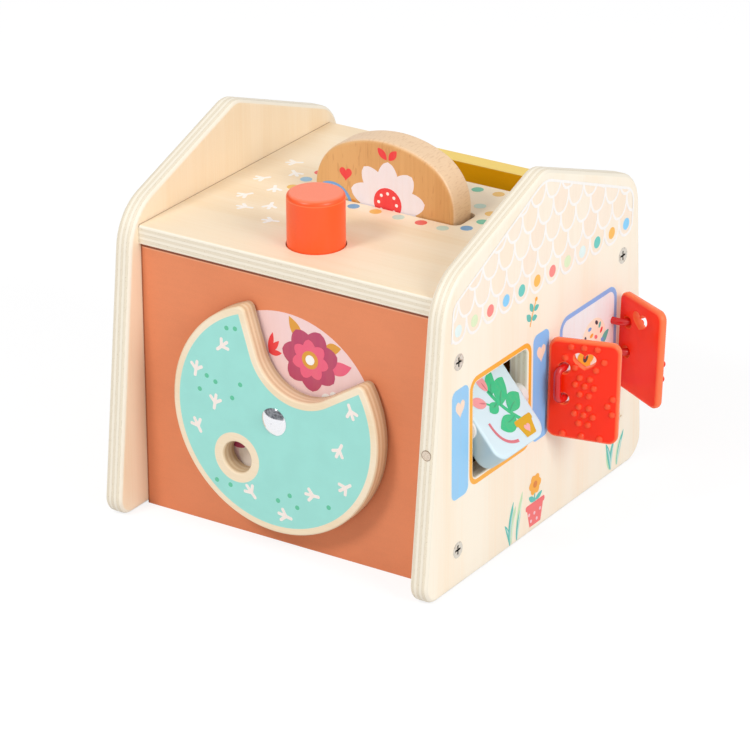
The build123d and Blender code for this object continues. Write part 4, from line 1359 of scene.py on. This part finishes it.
class PLAYHOUSE_OT_boards(bpy.types.Operator):
    """Finish the plywood boards: bare birch, the printed panel and the painted walls"""

    bl_idname = "playhouse.boards"
    bl_label = "Finish the boards"

    def execute(self, context):
        look = context.scene.house_wood
        printed = (look.printed, look.printed_dark)
        # The base board's dark brown is painted shade, for the inside of the house seen through the
        # window
        shaded_board = (paint(128, 98, 70), paint(106, 80, 56))
        disc_layers = (paint(236, 214, 180), paint(222, 194, 154))
        for name, node, across, along, special in (
            ("left_panel_birch", "side_panel_left", "x", "z", {}),
            ("right_panel_birch", "side_panel_right", "x", "z", {"faces": printed}),
            ("deck_birch", "deck", "z", "x", {"front": deck_gap_shade}),
            ("base_hardboard", "base_board", "z", "x", {"faces": shaded_board, "layers": shaded_board}),
            ("disc_birch", "spinner_disc", "y", "x", {"layers": disc_layers, "front": aqua_face}),
        ):
            put_finish(plywood(name, node, across, along, **special), node)
        put_finish(painted("terracotta_paint", look.terracotta, "x", wall_gap_shade_and_highlight), "front_panel")
        put_finish(painted("mustard_paint", look.mustard, "x", rear_top_highlight), "rear_panel")
        return {"FINISHED"}


class PLAYHOUSE_OT_turned_wood(bpy.types.Operator):
    """Finish the solid wood: the peg, the arched disc, the plaque and the hidden rocker"""

    bl_idname = "playhouse.turned_wood"
    bl_label = "Finish the solid wood"

    def execute(self, context):
        look = context.scene.house_wood
        put_finish(painted("peg_orange", look.orange, "z", peg_top_highlight, 0.4, 0.2), "peg")
        put_finish(beech_disc(), "pop_up_disc")
        put_finish(plaque_paint(), "window_plaque")
        blocks = solid_wood("plain_beech", paint(232, 204, 168), paint(214, 178, 138), "x")
        put_finish(blocks, "rocker_bearing_left", "rocker_bearing_right")
        put_finish(blocks, "peg_retainer", "pop_up_foot")
        dowel = solid_wood("dowel_wood", paint(232, 210, 190), paint(214, 186, 160), "y")
        put_finish(dowel, "rocker_lever", "deck_dowels")
        put_finish(axle_end(), "plaque_axle")
        return {"FINISHED"}


class PLAYHOUSE_OT_fittings(bpy.types.Operator):
    """Finish the screws, the pin, the rivet and the plastic fittings"""

    bl_idname = "playhouse.fittings"
    bl_label = "Finish the fittings"

    def execute(self, context):
        put_finish(screw_steel(), "panel_screws_left", "panel_screws_right")
        put_finish(plain_steel(), "pop_up_foot_screws", "bearing_screws", "rocker_pivot")
        white = moulded("white_plastic", paint(242, 240, 236), 0.2)
        put_finish(white, "spinner_washer", "spinner_cap", "plaque_bush_front", "plaque_bush_rear")
        put_finish(polished_metal(), "spinner_rivet")
        red = moulded("loop_red", context.scene.house_shutter.loop, 0.25)
        put_finish(red, "flap_loop_left", "flap_loop_right")
        return {"FINISHED"}


class PLAYHOUSE_OT_prints(bpy.types.Operator):
    """Print the roof, the windows, the grass, the tracks and the small pictures"""

    bl_idname = "playhouse.prints"
    bl_label = "Print the faces"

    def execute(self, context):
        printed_ink()
        for draw in (
            roof_print, window_print, grass_print, flower_print, deck_print, disc_print,
            wall_picture, arch_print, plaque_print,
        ):
            draw()
        return {"FINISHED"}


class PLAYHOUSE_OT_shutters(bpy.types.Operator):
    """Make the two soft shutters in place of their plain solids"""

    bl_idname = "playhouse.shutters"
    bl_label = "Hang the shutters"

    def execute(self, context):
        look = context.scene.house_shutter
        material = soft_red()
        left = (look.left_open, look.left_droop, look.left_reach, LEFT_BEHIND)
        right = (look.right_open, look.right_droop, look.right_reach, RIGHT_BEHIND)
        for name, node, closed_way, pose in (
            ("soft_shutter_left", "flap_left", 1, left),
            ("soft_shutter_right", "flap_right", -1, right),
        ):
            hang_shutter(name, node, closed_way, *pose).data.materials.append(material)
        return {"FINISHED"}


# The stage, in metres and degrees
FLOOR_HALF = 4.0
FLOOR_DROP = 0.1 * MM
FLOOR_GLOW = 1.26
FLOOR_SEEN = 0.62
FLOOR_MATT = (0.72, 0.72, 0.73)
CARD_RADIUS = 1.3
CARD_HEIGHTS = (0.03, 0.95)
CARD_TURNS = (-215, -65)
LAMP_TARGET = (0, 0, 0.08)
KEY_PLACE = (-0.5, -1.45, 1.5)
KEY_SIZE = 0.6
SIDE_PLACE = (1.72, -0.4, 1.05)
SIDE_SIZE = 1.0
SENSOR_WIDTH = 36
NEAREST = 0.05


def stage_floor():
    """A wide pale floor. The camera, glossy surfaces and clear ones see it almost white, with
    the soft shadow of the house on it."""
    corners = np.array(((-1, -1, 0), (1, -1, 0), (1, 1, 0), (-1, 1, 0))) * FLOOR_HALF
    floor = new_object("floor", corners - (0, 0, FLOOR_DROP), [[0, 1, 2, 3]])
    recipe = Recipe("floor_white")
    path = recipe.add("ShaderNodeLightPath").outputs
    seen = Term(recipe, path["Is Camera Ray"]).do("MAXIMUM", path["Is Glossy Ray"])
    seen = seen.do("MAXIMUM", path["Is Transmission Ray"])
    glow = recipe.add("ShaderNodeEmission", Color=(1, 1, 1), Strength=FLOOR_GLOW)
    matt = recipe.add("ShaderNodeBsdfDiffuse", Color=FLOOR_MATT)
    blend = recipe.add("ShaderNodeMixShader")
    for socket, value in zip(blend.inputs, (seen * FLOOR_SEEN, matt.outputs[0], glow.outputs[0])):
        recipe.feed(socket, value)
    recipe.feed(recipe.tree.nodes["Material Output"].inputs["Surface"], blend.outputs[0])
    floor.data.materials.append(recipe.material)


def stage_lamp(name, place, size, power):
    """A large soft lamp that faces the house."""
    data = bpy.data.lights.new(name, "AREA")
    data.shape = "DISK"
    data.size = size
    data.energy = power
    lamp = bpy.data.objects.new(name, data)
    lamp.location = place
    lamp.rotation_euler = (Vector(LAMP_TARGET) - Vector(place)).to_track_quat("-Z", "Y").to_euler()
    bpy.context.scene.collection.objects.link(lamp)


def stage_flag():
    """A grey card, bent round the front left. Only reflections show it, as the rivet's dark band."""
    angle = np.radians(np.linspace(*CARD_TURNS, 16))
    foot = CARD_RADIUS * np.stack((np.cos(angle), np.sin(angle)), axis=1)
    rows = np.array([np.column_stack((foot, np.full(len(foot), z))) for z in CARD_HEIGHTS])
    faces = faces_of_grid(len(rows), len(foot), False, 0)[:, ::-1]
    card = new_object("grey_card", rows.reshape(-1, 3), faces)
    recipe = Recipe("card_grey")
    shade = recipe.noise((3, 3, 6), 3).ramp(0.3, 0.7)
    recipe.set(Base_Color=recipe.mix(shade, paint(112, 114, 118), paint(182, 184, 188)))
    recipe.set(Roughness=1.0, Specular_IOR_Level=0.0)
    card.data.materials.append(recipe.material)
    card.visible_camera = False
    card.visible_diffuse = False
    card.visible_shadow = False


def stage_world(strength):
    """Even white light. The camera and reflections see plain white."""
    world = bpy.data.worlds.new("even_light")
    world.use_nodes = True
    bpy.context.scene.world = world
    tree = world.node_tree
    ground = tree.nodes["Background"]
    ground.inputs["Color"].default_value = (1, 1, 1, 1)
    path = tree.nodes.new("ShaderNodeLightPath").outputs
    seen = path["Is Camera Ray"]
    for ray in ("Is Glossy Ray", "Is Transmission Ray"):
        higher = tree.nodes.new("ShaderNodeMath")
        higher.operation = "MAXIMUM"
        tree.links.new(seen, higher.inputs[0])
        tree.links.new(path[ray], higher.inputs[1])
        seen = higher.outputs[0]
    level = tree.nodes.new("ShaderNodeMapRange")
    level.inputs["To Min"].default_value = strength
    level.inputs["To Max"].default_value = 1.0
    tree.links.new(seen, level.inputs["Value"])
    tree.links.new(level.outputs["Result"], ground.inputs["Strength"])


class PLAYHOUSE_OT_stage(bpy.types.Operator):
    """Set the floor, the lamps, the even light and the camera"""

    bl_idname = "playhouse.stage"
    bl_label = "Set the stage"

    def execute(self, context):
        look = context.scene.house_stage
        stage_floor()
        stage_lamp("key_lamp", KEY_PLACE, KEY_SIZE, look.key)
        stage_lamp("side_lamp", SIDE_PLACE, SIDE_SIZE, look.side)
        stage_flag()
        stage_world(look.sky)
        data = bpy.data.cameras.new("camera")
        data.lens = look.lens
        data.sensor_width = SENSOR_WIDTH
        data.sensor_fit = "HORIZONTAL"
        data.clip_start = NEAREST
        camera = bpy.data.objects.new("camera", data)
        away = Vector(look.camera) - Vector(look.target)
        turned = away.to_track_quat("Z", "Y").to_matrix() @ Matrix.Rotation(-look.roll, 3, "Z")
        camera.matrix_world = Matrix.Translation(look.camera) @ turned.to_4x4()
        context.scene.collection.objects.link(camera)
        context.scene.camera = camera
        context.scene.view_settings.view_transform = "Standard"
        return {"FINISHED"}


class PLAYHOUSE_PT_panel(bpy.types.Panel):
    """Lists the steps that dress the house, and their settings"""

    bl_label = "Play house"
    bl_idname = "PLAYHOUSE_PT_panel"
    bl_space_type = "VIEW_3D"
    bl_region_type = "UI"
    bl_category = "Play house"

    def draw(self, context):
        for step in STEPS:
            self.layout.operator(step.bl_idname)
        for label, look in LOOKS.items():
            box = self.layout.box()
            for name in look.__annotations__:
                box.prop(getattr(context.scene, label), name)


STEPS = (
    PLAYHOUSE_OT_boards,
    PLAYHOUSE_OT_turned_wood,
    PLAYHOUSE_OT_fittings,
    PLAYHOUSE_OT_prints,
    PLAYHOUSE_OT_shutters,
    PLAYHOUSE_OT_stage,
)


def register():
    for item in (*LOOKS.values(), *STEPS, PLAYHOUSE_PT_panel):
        bpy.utils.register_class(item)
    for label, look in LOOKS.items():
        setattr(bpy.types.Scene, label, bpy.props.PointerProperty(type=look))


def unregister():
    for label in LOOKS:
        delattr(bpy.types.Scene, label)
    for item in (PLAYHOUSE_PT_panel, *reversed(STEPS), *reversed(LOOKS.values())):
        bpy.utils.unregister_class(item)


def main():
    """Registers the classes and runs the operators in order."""
    register()
    bpy.ops.playhouse.boards()
    bpy.ops.playhouse.turned_wood()
    bpy.ops.playhouse.fittings()
    bpy.ops.playhouse.prints()
    bpy.ops.playhouse.shutters()
    bpy.ops.playhouse.stage()


if __name__ == "__main__":
    main()
